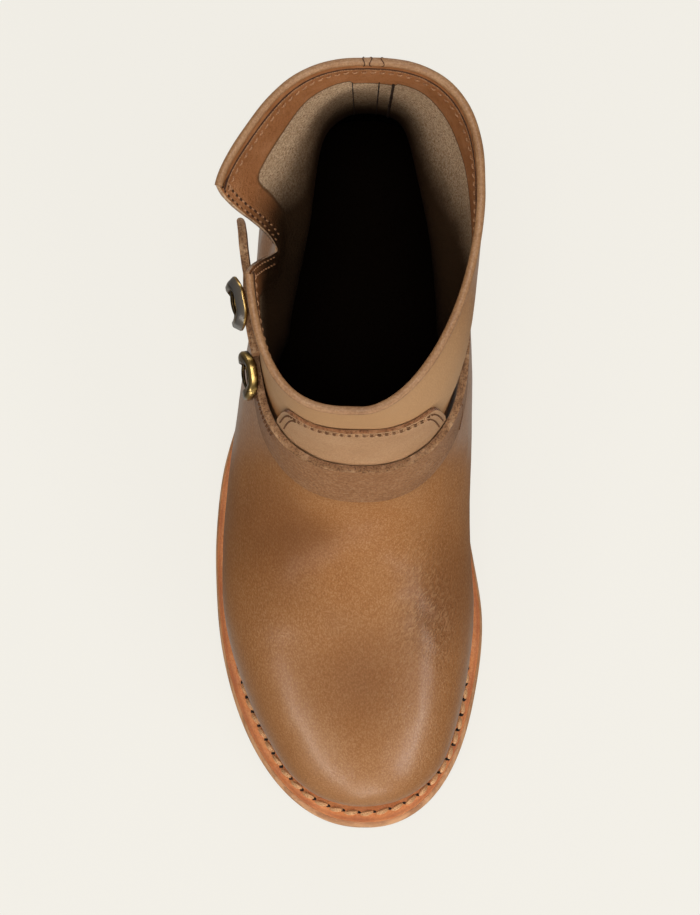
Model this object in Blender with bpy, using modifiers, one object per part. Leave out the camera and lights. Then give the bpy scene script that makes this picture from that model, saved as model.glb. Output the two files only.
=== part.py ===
"""Right ankle bootie with a notched collar and two buckled straps.

Sizes below are millimetres. The origin is on the floor under the tread point of the forefoot, the toe
points along -Y, the heel along +Y, and +X is the inner (medial) side of the foot.
"""
import math
from collections import namedtuple

import bmesh
import bpy
import numpy as np
from mathutils import Vector

MM = 0.001
GAP = 0.3

# Colour, roughness and metallic value of each material
Finish = namedtuple("Finish", "colour roughness metallic")
UPPER_LEATHER = Finish((0.40, 0.22, 0.10), 0.42, 0.0)
STRAP_LEATHER = Finish((0.36, 0.21, 0.11), 0.5, 0.0)
WELT_LEATHER = Finish((0.62, 0.27, 0.10), 0.55, 0.0)
SOLE_LEATHER = Finish((0.50, 0.30, 0.14), 0.6, 0.0)
HEEL_LEATHER = Finish((0.32, 0.17, 0.08), 0.6, 0.0)
INSOLE_LEATHER = Finish((0.16, 0.10, 0.06), 0.7, 0.0)
BRASS = Finish((0.45, 0.33, 0.14), 0.3, 1.0)
CUTTER_RED = Finish((0.8, 0.2, 0.2), 0.5, 0.0)

# Sole: outline, layers and heights
SOLE_TIP = -90.1
SOLE_BACK = 180.0
SOLE_BALL = 0.0
SOLE_HEEL = 142.0
TOE_ROUND_MEDIAL = 2.15
TOE_ROUND_LATERAL = 2.24
HEEL_ROUND = 2.1
OUTSOLE_THICK = 5.0
WELT_THICK = 3.5
INSOLE_THICK = 3.0
SOLE_STATIONS = 30
SOLE_EDGE_ROUND = 1.2
HEEL_HEIGHT = 26.0
TREAD_FRONT = -25.0
TREAD_BACK = 15.0
HEEL_BREAST = 112.0
TOE_SPRING = 9.0
SPRING_POWER = 1.7
HEEL_TAPER = 0.93
HEEL_CENTRE_Y = 146.0
HEEL_INSET = 0.6
INSOLE_MARGIN = 1.2

WeltRow = namedtuple("WeltRow", "y outer inner")
WELT = (
    WeltRow(-90, 2.6, 26.0),
    WeltRow(-50, 1.6, 18.0),
    WeltRow(0, 0.8, 13.5),
    WeltRow(70, 0.8, 12.0),
    WeltRow(140, 0.8, 10.0),
    WeltRow(180, 0.8, 10.0),
)

SoleRow = namedtuple("SoleRow", "y axis medial lateral")
SOLE = (
    SoleRow(-90, 6.0, 50.4, 51.3),
    SoleRow(-45, 3.0, 49.2, 51.6),
    SoleRow(-8, 0.5, 49.9, 51.2),
    SoleRow(19, 0.0, 45.8, 51.1),
    SoleRow(45, 1.0, 41.0, 49.0),
    SoleRow(70, 2.5, 36.5, 43.0),
    SoleRow(100, 4.5, 33.0, 37.5),
    SoleRow(135, 5.0, 33.0, 35.0),
    SoleRow(180, 5.0, 33.0, 35.0),
)

# Foot of the last: half-widths either side of its axis, ridge height, height of the widest girth
TOE_TIP = -78.1
FOOT_FRONT = 0.0
FOOT_REAR = 85.0
FOOT_END = 150.0
FOOT_DOME = 2.15
FEATHER_TUCK = 0.065

FootRow = namedtuple("FootRow", "y axis medial lateral ridge belly")
FOOT = (
    FootRow(-78, 5.0, 55.0, 55.0, 58, 17),
    FootRow(-60, 4.3, 48.4, 48.4, 59, 18.5),
    FootRow(-40, 2.2, 46.2, 46.4, 60, 20),
    FootRow(0, 0.0, 45.7, 47.2, 63, 24),
    FootRow(25, 0.0, 44.0, 46.6, 68, 24),
    FootRow(45, 0.5, 42.0, 44.5, 75, 22),
    FootRow(70, 2.0, 37.0, 39.0, 82, 18),
    FootRow(100, 4.0, 30.0, 30.0, 84, 16),
    FootRow(140, 5.0, 26.0, 26.0, 84, 16),
    FootRow(180, 5.0, 24.0, 24.0, 84, 16),
)

# Heel and shaft of the last: level sections, with the squareness of their front quarters
COLLAR_Z = 168.0
BACK_ROUND_MEDIAL = 2.65
BACK_ROUND_LATERAL = 2.3
TAPER_LIMIT = 1.2
INSTEP_BLEND = 34.0
FIELD_SCALE = 36.0

ShaftRow = namedtuple(
    "ShaftRow",
    "z front back wide axis medial lateral square_medial square_lateral taper_medial taper_lateral",
)
SHAFT = (
    ShaftRow(30, 60, 174.0, 135, 5.0, 31.5, 33.0, 2.2, 2.2, 0.00, 0.00),
    ShaftRow(52, 48, 176.0, 130, 5.0, 34.5, 36.5, 2.2, 2.2, 0.00, 0.00),
    ShaftRow(75, 37, 174.0, 118, 5.0, 34.0, 35.5, 2.3, 2.4, 0.05, 0.08),
    ShaftRow(97, 40, 171.5, 100, 5.0, 33.0, 35.5, 2.3, 2.4, 0.10, 0.20),
    ShaftRow(115, 49, 170.0, 95, 5.0, 33.0, 36.0, 2.3, 2.4, 0.10, 0.24),
    ShaftRow(140, 58, 172.5, 112, 4.5, 36.5, 36.0, 2.5, 2.8, 0.05, 0.16),
    ShaftRow(168, 64, 177.6, 135, 4.0, 39.0, 38.0, 1.8, 3.0, 0.00, 0.00),
)

# Outward (positive) and inward folds of the lateral shaft wall
FoldRow = namedtuple("FoldRow", "y z out reach_front reach_back reach_z")
FOLDS = (
    FoldRow(133, 172, 9.6, 10, 21, 30),
    FoldRow(120, 130, -4.0, 14, 20, 20),
)

# Collar binding, front panel, straps and buckles; bearings are degrees from the toe's direction, + medial
SHAFT_CENTRE = (4.0, 120.0)
BINDING_RADIUS = 1.4
BINDING_START = -73.0
BINDING_END = 250.0
BINDING_POINTS = 60
PANEL_THICK = 1.2
PANEL_HALF_ANGLE = 26.0
PANEL_LOW = 97.0
PANEL_TOP = 141.0
PANEL_STATIONS = 21
PANEL_LEVELS = 7
PANEL_SQUARE = 6
PANEL_END = 0.985
STRAP_THICK = 2.6
STRAP_STATIONS = 36
STRAP_LEVELS = 4
STRAP_TIP_ANGLE = 9.0
STRAP_TIP_FULLNESS = 0.95
WIRE_ROUNDNESS = 2
PRONG_RADIUS = 0.7
PRONG_RISE = 1.6
PRONG_STEPS = 9
BAR_HALF_WIDE = 1.8
BAR_HALF_THICK = 1.7
BAR_CHAMFER = 0.5
BUCKLE_CORNER = 4.5
BUCKLE_BOW_POWER = 6
CORNER_STEPS = 5

StrapRow = namedtuple("StrapRow", "bearing low high lift")
INSTEP_STRAP = (
    StrapRow(-76, 92, 113, 0.3),
    StrapRow(-36, 94, 115, 0.5),
    StrapRow(-26, 95.5, 115, 1.8),
    StrapRow(0, 97, 115, 1.8),
    StrapRow(26, 95.5, 115, 1.8),
    StrapRow(42, 94, 115, 0.5),
    StrapRow(98, 90, 111, 0.3),
)

# Collar strap: sewn along the shaft between two bearings, then free through plan points that round its tip
COLLAR_STRAP_LOW = 138.0
COLLAR_STRAP_HIGH = 153.5
COLLAR_STRAP_SEWN = (-43.0, -67.0)
COLLAR_STRAP_STATIONS = 11
FreePoint = namedtuple("FreePoint", "x y trim")
COLLAR_STRAP_FREE = (
    FreePoint(-34.0, 113.0, 0.0),
    FreePoint(-34.8, 119.0, 0.0),
    FreePoint(-35.2, 124.0, 1.2),
    FreePoint(-35.9, 128.6, 4.8),
)

# Buckle frames: their upper and lower bars bow inwards past the strap's edges
BuckleRow = namedtuple("BuckleRow", "name bearing z lift length height tilt yaw bow")
BUCKLES = (
    BuckleRow("instep", -39.5, 104.5, 6.2, 16.5, 30.0, 0.0, 0.0, 2.4),
    BuckleRow("collar", -61.0, 147.0, 6.5, 17.0, 25.0, 9.0, -10.0, 1.5),
)

# Upper wall, ring mesh and the V notch in its lateral side
UPPER_WALL = 2.2
NOTCH_FRONT = 109.6
NOTCH_BACK = 137.2
NOTCH_BOTTOM_Y = 119.5
NOTCH_BOTTOM_Z = 130.0
NOTCH_ROUND = 0.8
NOTCH_REACH = 1.6
NOTCH_CUT_X = (-80.0, -8.0)
RING_POINTS = 56
RING_COUNT = 25

RingRow = namedtuple("RingRow", "t front_y front_z wide_y wide_z back_y back_z half")
RINGS = (
    RingRow(0.00, -75, 14.8, 30, 10.5, 176, 35.1, 44),
    RingRow(0.10, -78, 30, 35, 26, 179, 49, 46),
    RingRow(0.22, -62, 49, 50, 44, 179, 62, 44),
    RingRow(0.36, -22, 60, 72, 60, 178, 75, 40),
    RingRow(0.52, 16, 76, 95, 82, 176, 92, 36),
    RingRow(0.68, 40, 98, 115, 107, 173, 111, 37),
    RingRow(0.84, 56, 133, 128, 137, 174, 138, 38),
    RingRow(1.00, 64, 168, 135, 168, 178, 168, 38),
)


def smooth(table, column, at):
    """Value of a table column along its first column, on a cubic through the rows."""
    knots = np.array([row[0] for row in table], dtype=float)
    values = np.array([getattr(row, column) for row in table], dtype=float)
    slopes = np.gradient(values, knots)
    at = np.clip(np.asarray(at, dtype=float), knots[0], knots[-1])
    low = np.clip(np.searchsorted(knots, at, side="right") - 1, 0, len(knots) - 2)
    span = knots[low + 1] - knots[low]
    u = (at - knots[low]) / span
    return (
        values[low] * (1 + 2 * u) * (1 - u) ** 2
        + values[low + 1] * u * u * (3 - 2 * u)
        + span * u * (1 - u) * (slopes[low] * (1 - u) - slopes[low + 1] * u)
    )


def ease(value, start, end):
    """Smooth step from 0 at start to 1 at end."""
    u = np.clip((np.asarray(value, dtype=float) - start) / (end - start), 0.0, 1.0)
    return u * u * (3 - 2 * u)


def sole_bottom(y):
    """Height of the outsole's lower face: toe spring, flat tread, arch, level heel seat."""
    spring = np.clip((TREAD_FRONT - y) / (TREAD_FRONT - SOLE_TIP), 0.0, 1.0)
    return TOE_SPRING * spring**SPRING_POWER + HEEL_HEIGHT * ease(y, TREAD_BACK, HEEL_BREAST - 2)


def outsole_top(y):
    """Height of the outsole's upper face."""
    return sole_bottom(y) + OUTSOLE_THICK


def feather(y):
    """Height of the upper's lower edge, on top of outsole and welt."""
    return outsole_top(y) + WELT_THICK + 2 * GAP


def insole_bottom(y):
    """Height of the insole's lower face, clear of the welt's inner ledge."""
    return feather(y) + GAP


def insole_top(y):
    """Height of the insole's upper face."""
    return insole_bottom(y) + INSOLE_THICK


def foot_field(x, y, z):
    """Signed measure of the last's foot: negative inside, about millimetres near its skin."""
    axis = smooth(FOOT, "axis", y)
    half = np.where(x > axis, smooth(FOOT, "medial", y), smooth(FOOT, "lateral", y))
    low = feather(y)
    belly = smooth(FOOT, "belly", y)
    rise = smooth(FOOT, "ridge", y) - low - belly
    forward = np.maximum(FOOT_FRONT - y, 0) / (FOOT_FRONT - TOE_TIP)
    rearward = np.maximum(y - FOOT_REAR, 0) / (FOOT_END - FOOT_REAR)
    below = np.clip((low + belly - z) / belly, 0.0, TAPER_LIMIT)
    plan = np.sqrt((np.abs(x - axis) / half) ** 2 + forward**2 + rearward**2)
    plan = plan / (1 - FEATHER_TUCK * below**2)
    above = np.maximum(z - low - belly, 0) / rise
    return FIELD_SCALE * ((plan**FOOT_DOME + above**FOOT_DOME) ** (1 / FOOT_DOME) - 1)


def fold_depth(y, z):
    """Sum of the shaft's folds at a place on its lateral wall."""
    total = np.zeros(np.broadcast(y, z).shape)
    for fold in FOLDS:
        reach = np.where(y < fold.y, fold.reach_front, fold.reach_back)
        total = total + fold.out * np.exp(-(((y - fold.y) / reach) ** 2) - ((z - fold.z) / fold.reach_z) ** 2)
    return total


def shaft_field(x, y, z):
    """Signed measure of the last's heel and shaft, from its level sections."""
    column = {name: smooth(SHAFT, name, z) for name in ShaftRow._fields[1:]}
    medial = x > column["axis"]
    front = y < column["wide"]
    half = np.where(medial, column["medial"], column["lateral"] + fold_depth(y, z))
    length = np.where(front, column["wide"] - column["front"], column["back"] - column["wide"])
    front_power = np.where(medial, column["square_medial"], column["square_lateral"])
    back_power = np.where(medial, BACK_ROUND_MEDIAL, BACK_ROUND_LATERAL)
    power = np.where(front, front_power, back_power)
    along = np.abs(y - column["wide"]) / length
    taper = np.where(front, 0.0, np.where(medial, column["taper_medial"], column["taper_lateral"]))
    across = np.abs(x - column["axis"]) / (half * (1 - taper * np.minimum(along, TAPER_LIMIT)))
    return FIELD_SCALE * ((across**power + along**power) ** (1 / power) - 1)


def last_field(x, y, z):
    """Foot and shaft joined with a soft blend at the instep."""
    foot = foot_field(x, y, z)
    shaft = shaft_field(x, y, z)
    near = np.maximum(INSTEP_BLEND - np.abs(foot - shaft), 0) / INSTEP_BLEND
    return np.minimum(foot, shaft) - near * near * INSTEP_BLEND / 4


def field_gradient(points):
    """Gradient of the last's field at an array of points (..., 3)."""
    step = 0.05
    parts = []
    for axis in range(3):
        shift = np.zeros(3)
        shift[axis] = step
        ahead, behind = points + shift, points - shift
        rise = last_field(*np.moveaxis(ahead, -1, 0)) - last_field(*np.moveaxis(behind, -1, 0))
        parts.append(rise / (2 * step))
    return np.stack(parts, axis=-1)


def skin_normal(points):
    """Outward unit normals of the last's skin."""
    gradient = field_gradient(points)
    return gradient / np.linalg.norm(gradient, axis=-1, keepdims=True)


def settle(points, free):
    """Move points onto the last's skin; free gives each point's freedom along X, Y and Z."""
    for _ in range(30):
        value = last_field(*np.moveaxis(points, -1, 0))
        gradient = field_gradient(points) * free
        square = np.maximum((gradient * gradient).sum(axis=-1), 1e-4)
        stride = np.clip(value / square, -20, 20)
        points = points - 0.8 * stride[..., None] * gradient
    return points


def upper_rings():
    """Rings of the upper's outer skin, from the feather line up to the collar."""
    t = np.linspace(0.0, 1.0, RING_COUNT)[:, None]
    turn = (np.arange(RING_POINTS) * 2 * math.pi / RING_POINTS)[None, :]
    row = {name: smooth(RINGS, name, t) for name in RingRow._fields[1:]}
    cosine, sine = np.cos(turn), np.sin(turn)
    front, back = np.maximum(cosine, 0), np.maximum(-cosine, 0)
    y = row["wide_y"] + (row["front_y"] - row["wide_y"]) * front + (row["back_y"] - row["wide_y"]) * back
    level = {name: row[name + "_z"] for name in ("front", "wide", "back")}
    above = {name: level[name] - feather(row[name + "_y"]) for name in level}
    high, rise = (
        at["wide"] + (at["front"] - at["wide"]) * front**2 + (at["back"] - at["wide"]) * back**2
        for at in (level, above)
    )
    z = (1 - t) * (feather(y) + rise) + t * high
    x = smooth(FOOT, "axis", y) * (1 - t) + SHAFT_CENTRE[0] * t + row["half"] * sine
    z[0] = feather(y[0])
    lift = np.clip(np.minimum(t, 1 - t) * 12, 0, 1) + 0 * turn
    free = np.stack([np.ones_like(lift), np.ones_like(lift), lift], axis=-1)
    points = np.stack([x, y, z], axis=-1)
    for _ in range(4):
        points = settle(points, free)
        points[0, :, 2] = feather(points[0, :, 1])
    return points


def shaft_points(bearing, z, lift):
    """Points on the shaft's skin at bearings and heights, raised outwards by lift."""
    bearing, z, lift = np.broadcast_arrays(np.asarray(bearing, float), z, lift)
    way = np.radians(bearing)
    near, far = np.zeros(bearing.shape), np.full(bearing.shape, 150.0)
    for _ in range(45):
        middle = (near + far) / 2
        x = SHAFT_CENTRE[0] + middle * np.sin(way)
        y = SHAFT_CENTRE[1] - middle * np.cos(way)
        inside = last_field(x, y, z) < 0
        near, far = np.where(inside, middle, near), np.where(inside, far, middle)
    points = np.stack([x, y, z], axis=-1)
    return points + skin_normal(points) * lift[..., None]


def sole_half(y, side):
    """Half-width of the sole beside its axis, with rounded toe and heel ends."""
    toe_power = TOE_ROUND_MEDIAL if side == "medial" else TOE_ROUND_LATERAL
    toe = np.clip((SOLE_BALL - y) / (SOLE_BALL - SOLE_TIP), 0, 1)
    heel = np.clip((y - SOLE_HEEL) / (SOLE_BACK - SOLE_HEEL), 0, 1)
    ends = (1 - toe**toe_power) ** (1 / toe_power) * (1 - heel**HEEL_ROUND) ** (1 / HEEL_ROUND)
    return smooth(SOLE, side, y) * ends


def sole_ring(stations):
    """Closed plan outline of the sole: inner side from toe to heel, then outer side back."""
    turn = np.linspace(0.0, math.pi, stations + 2)[1:-1]
    y = (SOLE_TIP + SOLE_BACK) / 2 - (SOLE_BACK - SOLE_TIP) / 2 * np.cos(turn)
    axis = smooth(SOLE, "axis", y)
    medial = np.stack([axis + sole_half(y, "medial"), y], axis=-1)
    lateral = np.stack([axis - sole_half(y, "lateral"), y], axis=-1)
    return np.concatenate([medial, lateral[::-1]])


def inset(ring, distance):
    """A closed plan outline, counter-clockwise, moved inwards by a distance."""
    along = np.roll(ring, -1, axis=0) - np.roll(ring, 1, axis=0)
    along = along / np.linalg.norm(along, axis=1, keepdims=True)
    inward = np.stack([-along[:, 1], along[:, 0]], axis=-1)
    return ring + inward * np.broadcast_to(distance, (len(ring),))[:, None]


def raise_ring(ring, above):
    """Plan outline lifted to a height above the outsole's upper face."""
    return np.column_stack([ring, outsole_top(ring[:, 1]) + above])


def add_material(name, finish):
    """Principled material of one sub-part."""
    material = bpy.data.materials.new(name)
    material.use_nodes = True
    shader = material.node_tree.nodes["Principled BSDF"]
    shader.inputs["Base Color"].default_value = (*finish.colour, 1.0)
    shader.inputs["Roughness"].default_value = finish.roughness
    shader.inputs["Metallic"].default_value = finish.metallic
    return material


def add_object(name, data, collection, finish):
    """Link mesh or curve data into a collection as a named object with its material."""
    obj = bpy.data.objects.new(name, data)
    collection.objects.link(obj)
    data.materials.append(add_material(name, finish))
    return obj


def loft(name, rings, collection, finish, around=True, along=False, caps=False):
    """Skin successive rings of points, closed around or along as asked, with flat caps if asked."""
    rings = np.asarray(rings) * MM
    count, size = rings.shape[:2]
    mesh = bmesh.new()
    verts = [[mesh.verts.new(point) for point in ring] for ring in rings]
    for i in range(count if along else count - 1):
        for j in range(size if around else size - 1):
            here, above = verts[i], verts[(i + 1) % count]
            k = (j + 1) % size
            mesh.faces.new((here[j], here[k], above[k], above[j]))
    if caps:
        mesh.faces.new(verts[0][::-1])
        mesh.faces.new(verts[-1])
    if caps or along:
        bmesh.ops.recalc_face_normals(mesh, faces=mesh.faces)
    data = bpy.data.meshes.new(name)
    mesh.to_mesh(data)
    mesh.free()
    data.shade_smooth()
    data.set_sharp_from_angle(angle=math.radians(40))
    return add_object(name, data, collection, finish)


def slab(name, ring, low, high, collection, finish):
    """Layer of the sole between two heights, lofted from toe to heel across a plan outline."""
    half = len(ring) // 2
    across = np.linspace(0.0, 1.0, 5)[:, None]
    edge = inset(ring, SOLE_EDGE_ROUND)
    sections = []
    for i in range(half):
        medial, lateral = ring[i], ring[-1 - i]
        top = lateral + (medial - lateral) * across
        bottom = edge[i] + (edge[-1 - i] - edge[i]) * across
        sides = [medial, *bottom, lateral]
        heights = [low(medial[1]) + SOLE_EDGE_ROUND, *low(bottom[:, 1]), low(lateral[1]) + SOLE_EDGE_ROUND]
        upper_face = np.column_stack([top, high(top[:, 1])])
        sections.append(np.concatenate([upper_face, np.column_stack([sides, heights])]))
    return loft(name, sections, collection, finish, caps=True)


def wire(name, path, radius, collection, finish):
    """Round bar along a path, with flat ends."""
    curve = bpy.data.curves.new(name, "CURVE")
    curve.dimensions = "3D"
    curve.bevel_depth = radius * MM
    curve.bevel_resolution = WIRE_ROUNDNESS
    curve.use_fill_caps = True
    spline = curve.splines.new("POLY")
    spline.points.add(len(path) - 1)
    for target, point in zip(spline.points, path):
        target.co = (*(Vector(point) * MM), 1.0)
    return add_object(name, curve, collection, finish)


def build_sole(parts, feather_ring):
    """Outsole, heel, welt and insole."""
    ring = sole_ring(SOLE_STATIONS)
    slab("outsole", ring, sole_bottom, outsole_top, parts, SOLE_LEATHER)

    seat = inset(ring, HEEL_INSET)
    seat = seat[seat[:, 1] > HEEL_BREAST]
    centre = np.array((SOLE[-1].axis, HEEL_CENTRE_Y))
    tread = (seat - centre) * HEEL_TAPER + centre
    blocks = [np.insert(tread, 2, 0.0, axis=1), np.insert(seat, 2, HEEL_HEIGHT - GAP, axis=1)]
    loft("heel", blocks, parts, HEEL_LEATHER, caps=True)

    outer = inset(ring, smooth(WELT, "outer", ring[:, 1]))
    inner = inset(ring, smooth(WELT, "inner", ring[:, 1]))
    bands = [raise_ring(outer, GAP), raise_ring(outer, GAP + WELT_THICK)]
    bands += [raise_ring(inner, GAP + WELT_THICK), raise_ring(inner, GAP)]
    loft("welt", bands, parts, WELT_LEATHER, along=True)

    board = inset(feather_ring, UPPER_WALL + INSOLE_MARGIN)[1:]
    board = np.delete(board, len(board) // 2, axis=0)
    slab("insole", board, insole_bottom, insole_top, parts, INSOLE_LEATHER)


def build_notch_cutter(cutters):
    """Wedge that cuts the V notch through the lateral wall only."""
    front = NOTCH_BOTTOM_Y + (NOTCH_FRONT - NOTCH_BOTTOM_Y) * NOTCH_REACH
    back = NOTCH_BOTTOM_Y + (NOTCH_BACK - NOTCH_BOTTOM_Y) * NOTCH_REACH
    top = NOTCH_BOTTOM_Z + (COLLAR_Z - NOTCH_BOTTOM_Z) * NOTCH_REACH
    shoulder = NOTCH_BOTTOM_Z + NOTCH_ROUND
    outline = [(front, top), (NOTCH_BOTTOM_Y - NOTCH_ROUND, shoulder), (NOTCH_BOTTOM_Y, NOTCH_BOTTOM_Z)]
    outline += [(NOTCH_BOTTOM_Y + NOTCH_ROUND, shoulder), (back, top)]
    sides = [[(x, y, z) for y, z in outline] for x in NOTCH_CUT_X]
    cutter = loft("notch_cutter", sides, cutters, CUTTER_RED, caps=True)
    cutter.hide_render = True
    cutter.display_type = "WIRE"
    return cutter


def build_upper(parts, cutters, rings):
    """Hollow wall of vamp and shaft, open below and at the collar, with its notch."""
    upper = loft("upper", rings, parts, UPPER_LEATHER)
    wall = upper.modifiers.new("wall", "SOLIDIFY")
    wall.thickness = UPPER_WALL * MM
    wall.offset = -1
    wall.use_even_offset = True
    notch = upper.modifiers.new("notch", "BOOLEAN")
    notch.operation = "DIFFERENCE"
    notch.solver = "EXACT"
    notch.object = build_notch_cutter(cutters)


def band_section(bearing, low, high, lift, thick, levels):
    """Closed section of an overlay on the shaft: up its inner face, then down its outer face."""
    heights = np.linspace(low, high, levels)
    inner = shaft_points(bearing, heights, lift)
    outer = shaft_points(bearing, heights[::-1], lift + thick)
    return np.concatenate([inner, outer])


def build_binding(parts):
    """Rolled binding on the collar's edge, from one corner of the notch round to the other."""
    bearing = np.linspace(BINDING_START, BINDING_END, BINDING_POINTS)
    rim = shaft_points(bearing, COLLAR_Z, 0.0)
    normal = skin_normal(rim)
    bead = rim - normal * UPPER_WALL / 2
    rise = np.maximum(-normal[:, 2] * UPPER_WALL, 0)
    bead[:, 2] = COLLAR_Z + rise + GAP + BINDING_RADIUS
    wire("collar_binding", bead, BINDING_RADIUS, parts, STRAP_LEATHER)


def build_front_panel(parts):
    """Panel over the front of the shaft, from under the instep strap to its seam below the collar."""
    sections = []
    for bearing in np.linspace(-PANEL_HALF_ANGLE, PANEL_HALF_ANGLE, PANEL_STATIONS):
        share = math.sqrt(1 - (PANEL_END * bearing / PANEL_HALF_ANGLE) ** PANEL_SQUARE)
        high = PANEL_LOW + (PANEL_TOP - PANEL_LOW) * share
        sections.append(band_section(bearing, PANEL_LOW, high, GAP, PANEL_THICK, PANEL_LEVELS))
    loft("front_panel", sections, parts, UPPER_LEATHER, caps=True)


def build_instep_strap(parts):
    """Strap round the front of the ankle, with rounded ends."""
    start, end = INSTEP_STRAP[0].bearing, INSTEP_STRAP[-1].bearing
    sections = []
    for bearing in np.linspace(start, end, STRAP_STATIONS):
        low, high, lift = (float(smooth(INSTEP_STRAP, name, bearing)) for name in ("low", "high", "lift"))
        near = 1 - min(bearing - start, end - bearing, STRAP_TIP_ANGLE) / STRAP_TIP_ANGLE
        trim = (high - low) / 2 * (1 - math.sqrt(1 - (STRAP_TIP_FULLNESS * near) ** 2))
        sections.append(
            band_section(bearing, low + trim, high - trim, max(lift, GAP), STRAP_THICK, STRAP_LEVELS)
        )
    loft("instep_strap", sections, parts, STRAP_LEATHER, caps=True)


def build_collar_strap(parts):
    """Strap sewn to the lateral front of the shaft, its free end standing past the notch."""
    sections = []
    for bearing in np.linspace(*COLLAR_STRAP_SEWN, COLLAR_STRAP_STATIONS):
        limits = (COLLAR_STRAP_LOW, COLLAR_STRAP_HIGH)
        sections.append(band_section(bearing, *limits, GAP, STRAP_THICK, STRAP_LEVELS))
    for x, y, trim in COLLAR_STRAP_FREE:
        heights = np.linspace(COLLAR_STRAP_LOW + trim, COLLAR_STRAP_HIGH - trim, STRAP_LEVELS)
        inner = [(x + STRAP_THICK / 2, y, z) for z in heights]
        outer = [(x - STRAP_THICK / 2, y, z) for z in heights[::-1]]
        sections.append(np.array(inner + outer))
    loft("collar_strap", sections, parts, STRAP_LEATHER, caps=True)


def buckle_axes(row):
    """Middle of a buckle, and its directions along the strap, up and outwards."""
    centre = shaft_points(row.bearing, row.z, row.lift)
    out = skin_normal(shaft_points(row.bearing, row.z, 0.0))
    along = np.cross((0.0, 0.0, 1.0), out)
    along = along / np.linalg.norm(along)
    up = np.cross(out, along)
    yaw, tilt = math.radians(row.yaw), math.radians(row.tilt)
    along, out = along * math.cos(yaw) + out * math.sin(yaw), out * math.cos(yaw) - along * math.sin(yaw)
    up, out = up * math.cos(tilt) - out * math.sin(tilt), out * math.cos(tilt) + up * math.sin(tilt)
    return centre, along, up, out


def build_buckle(row, parts):
    """Flat rounded frame on its strap, with the prong arched across its window."""
    centre, along, up, out = buckle_axes(row)
    half_length, half_height = row.length / 2 - BAR_HALF_WIDE, row.height / 2 - BAR_HALF_WIDE
    path = []
    for quarter in range(4):
        side_along = 1 if quarter in (0, 3) else -1
        side_up = 1 if quarter in (0, 1) else -1
        for step in range(CORNER_STEPS):
            turn = math.radians(90 * (quarter + step / (CORNER_STEPS - 1)))
            a = side_along * (half_length - BUCKLE_CORNER) + BUCKLE_CORNER * math.cos(turn)
            u = side_up * (half_height - BUCKLE_CORNER) + BUCKLE_CORNER * math.sin(turn)
            drop = row.bow * (u / half_height) ** BUCKLE_BOW_POWER
            path.append(centre + along * a + up * u - out * drop)
    path = np.array(path)
    run = np.roll(path, -1, axis=0) - np.roll(path, 1, axis=0)
    across = np.cross(run, out)
    across = across / np.linalg.norm(across, axis=1, keepdims=True)
    wide, thick, cut = BAR_HALF_WIDE, BAR_HALF_THICK, BAR_CHAMFER
    section = [(wide, thick - cut), (wide - cut, thick), (cut - wide, thick), (-wide, thick - cut)]
    section += [(-w, -t) for w, t in section]
    rings = [[point + side * w + out * t for w, t in section] for point, side in zip(path, across)]
    loft(row.name + "_buckle", rings, parts, BRASS, along=True)
    reach = half_length - BAR_HALF_WIDE - 2 * GAP
    shares = np.linspace(-1.0, 1.0, PRONG_STEPS)
    pin = [centre + along * (reach * share) + out * (PRONG_RISE * (1 - share**2)) for share in shares]
    wire(row.name + "_prong", pin, PRONG_RADIUS, parts, BRASS)


def main():
    """Clear the scene and build the boot."""
    for obj in list(bpy.data.objects):
        bpy.data.objects.remove(obj, do_unlink=True)
    parts = bpy.data.collections.new("ankle_bootie")
    cutters = bpy.data.collections.new("cutters")
    bpy.context.scene.collection.children.link(parts)
    bpy.context.scene.collection.children.link(cutters)
    rings = upper_rings()
    build_sole(parts, rings[0, :, :2])
    build_upper(parts, cutters, rings)
    build_binding(parts)
    build_front_panel(parts)
    build_instep_strap(parts)
    build_collar_strap(parts)
    for row in BUCKLES:
        build_buckle(row, parts)


main()
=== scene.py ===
"""Looks of a right ankle bootie: leather upper, lined collar, straps, brass buckles, welt and sole.

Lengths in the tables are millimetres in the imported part's frame: the toe points along -Y, +X is the inner
side of the foot and the floor is at Z = 0. Meshes are made in metres.
"""
from __future__ import annotations

import logging
import math
from dataclasses import dataclass
from enum import Enum
from typing import Callable, Iterable, NamedTuple, Sequence

import bmesh
import bpy
import numpy as np
from bpy.types import Material, Node, NodeSocket, Object, World
from mathutils import Matrix, Vector

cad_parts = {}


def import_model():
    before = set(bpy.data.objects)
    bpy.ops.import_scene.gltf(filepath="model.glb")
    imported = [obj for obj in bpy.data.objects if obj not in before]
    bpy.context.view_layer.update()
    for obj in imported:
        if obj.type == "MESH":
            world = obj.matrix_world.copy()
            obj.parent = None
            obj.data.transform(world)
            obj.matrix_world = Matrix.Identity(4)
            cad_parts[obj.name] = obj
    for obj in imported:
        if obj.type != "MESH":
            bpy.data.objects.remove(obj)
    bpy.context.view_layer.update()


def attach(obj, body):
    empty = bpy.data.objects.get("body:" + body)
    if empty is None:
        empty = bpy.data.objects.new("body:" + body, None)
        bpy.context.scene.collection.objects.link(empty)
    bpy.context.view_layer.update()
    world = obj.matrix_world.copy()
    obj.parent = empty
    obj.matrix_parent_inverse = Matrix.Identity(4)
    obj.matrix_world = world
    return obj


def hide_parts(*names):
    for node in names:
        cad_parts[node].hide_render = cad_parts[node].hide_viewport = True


LOG = logging.getLogger("ankle_bootie")
MM = 0.001
GAP = 0.3
STITCH_SAG = 0.35
BODY = "root"

Array = np.ndarray
Triple = tuple[float, float, float]
Colour = Triple
Span = tuple[float, float]


class Slot(Enum):
    """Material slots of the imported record."""

    OUTSOLE = "outsole"
    HEEL = "heel"
    WELT = "welt"
    INSOLE = "insole"
    UPPER = "upper"
    BINDING = "binding"
    STRAPS = "straps"
    BRASS = "brass"


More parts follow.
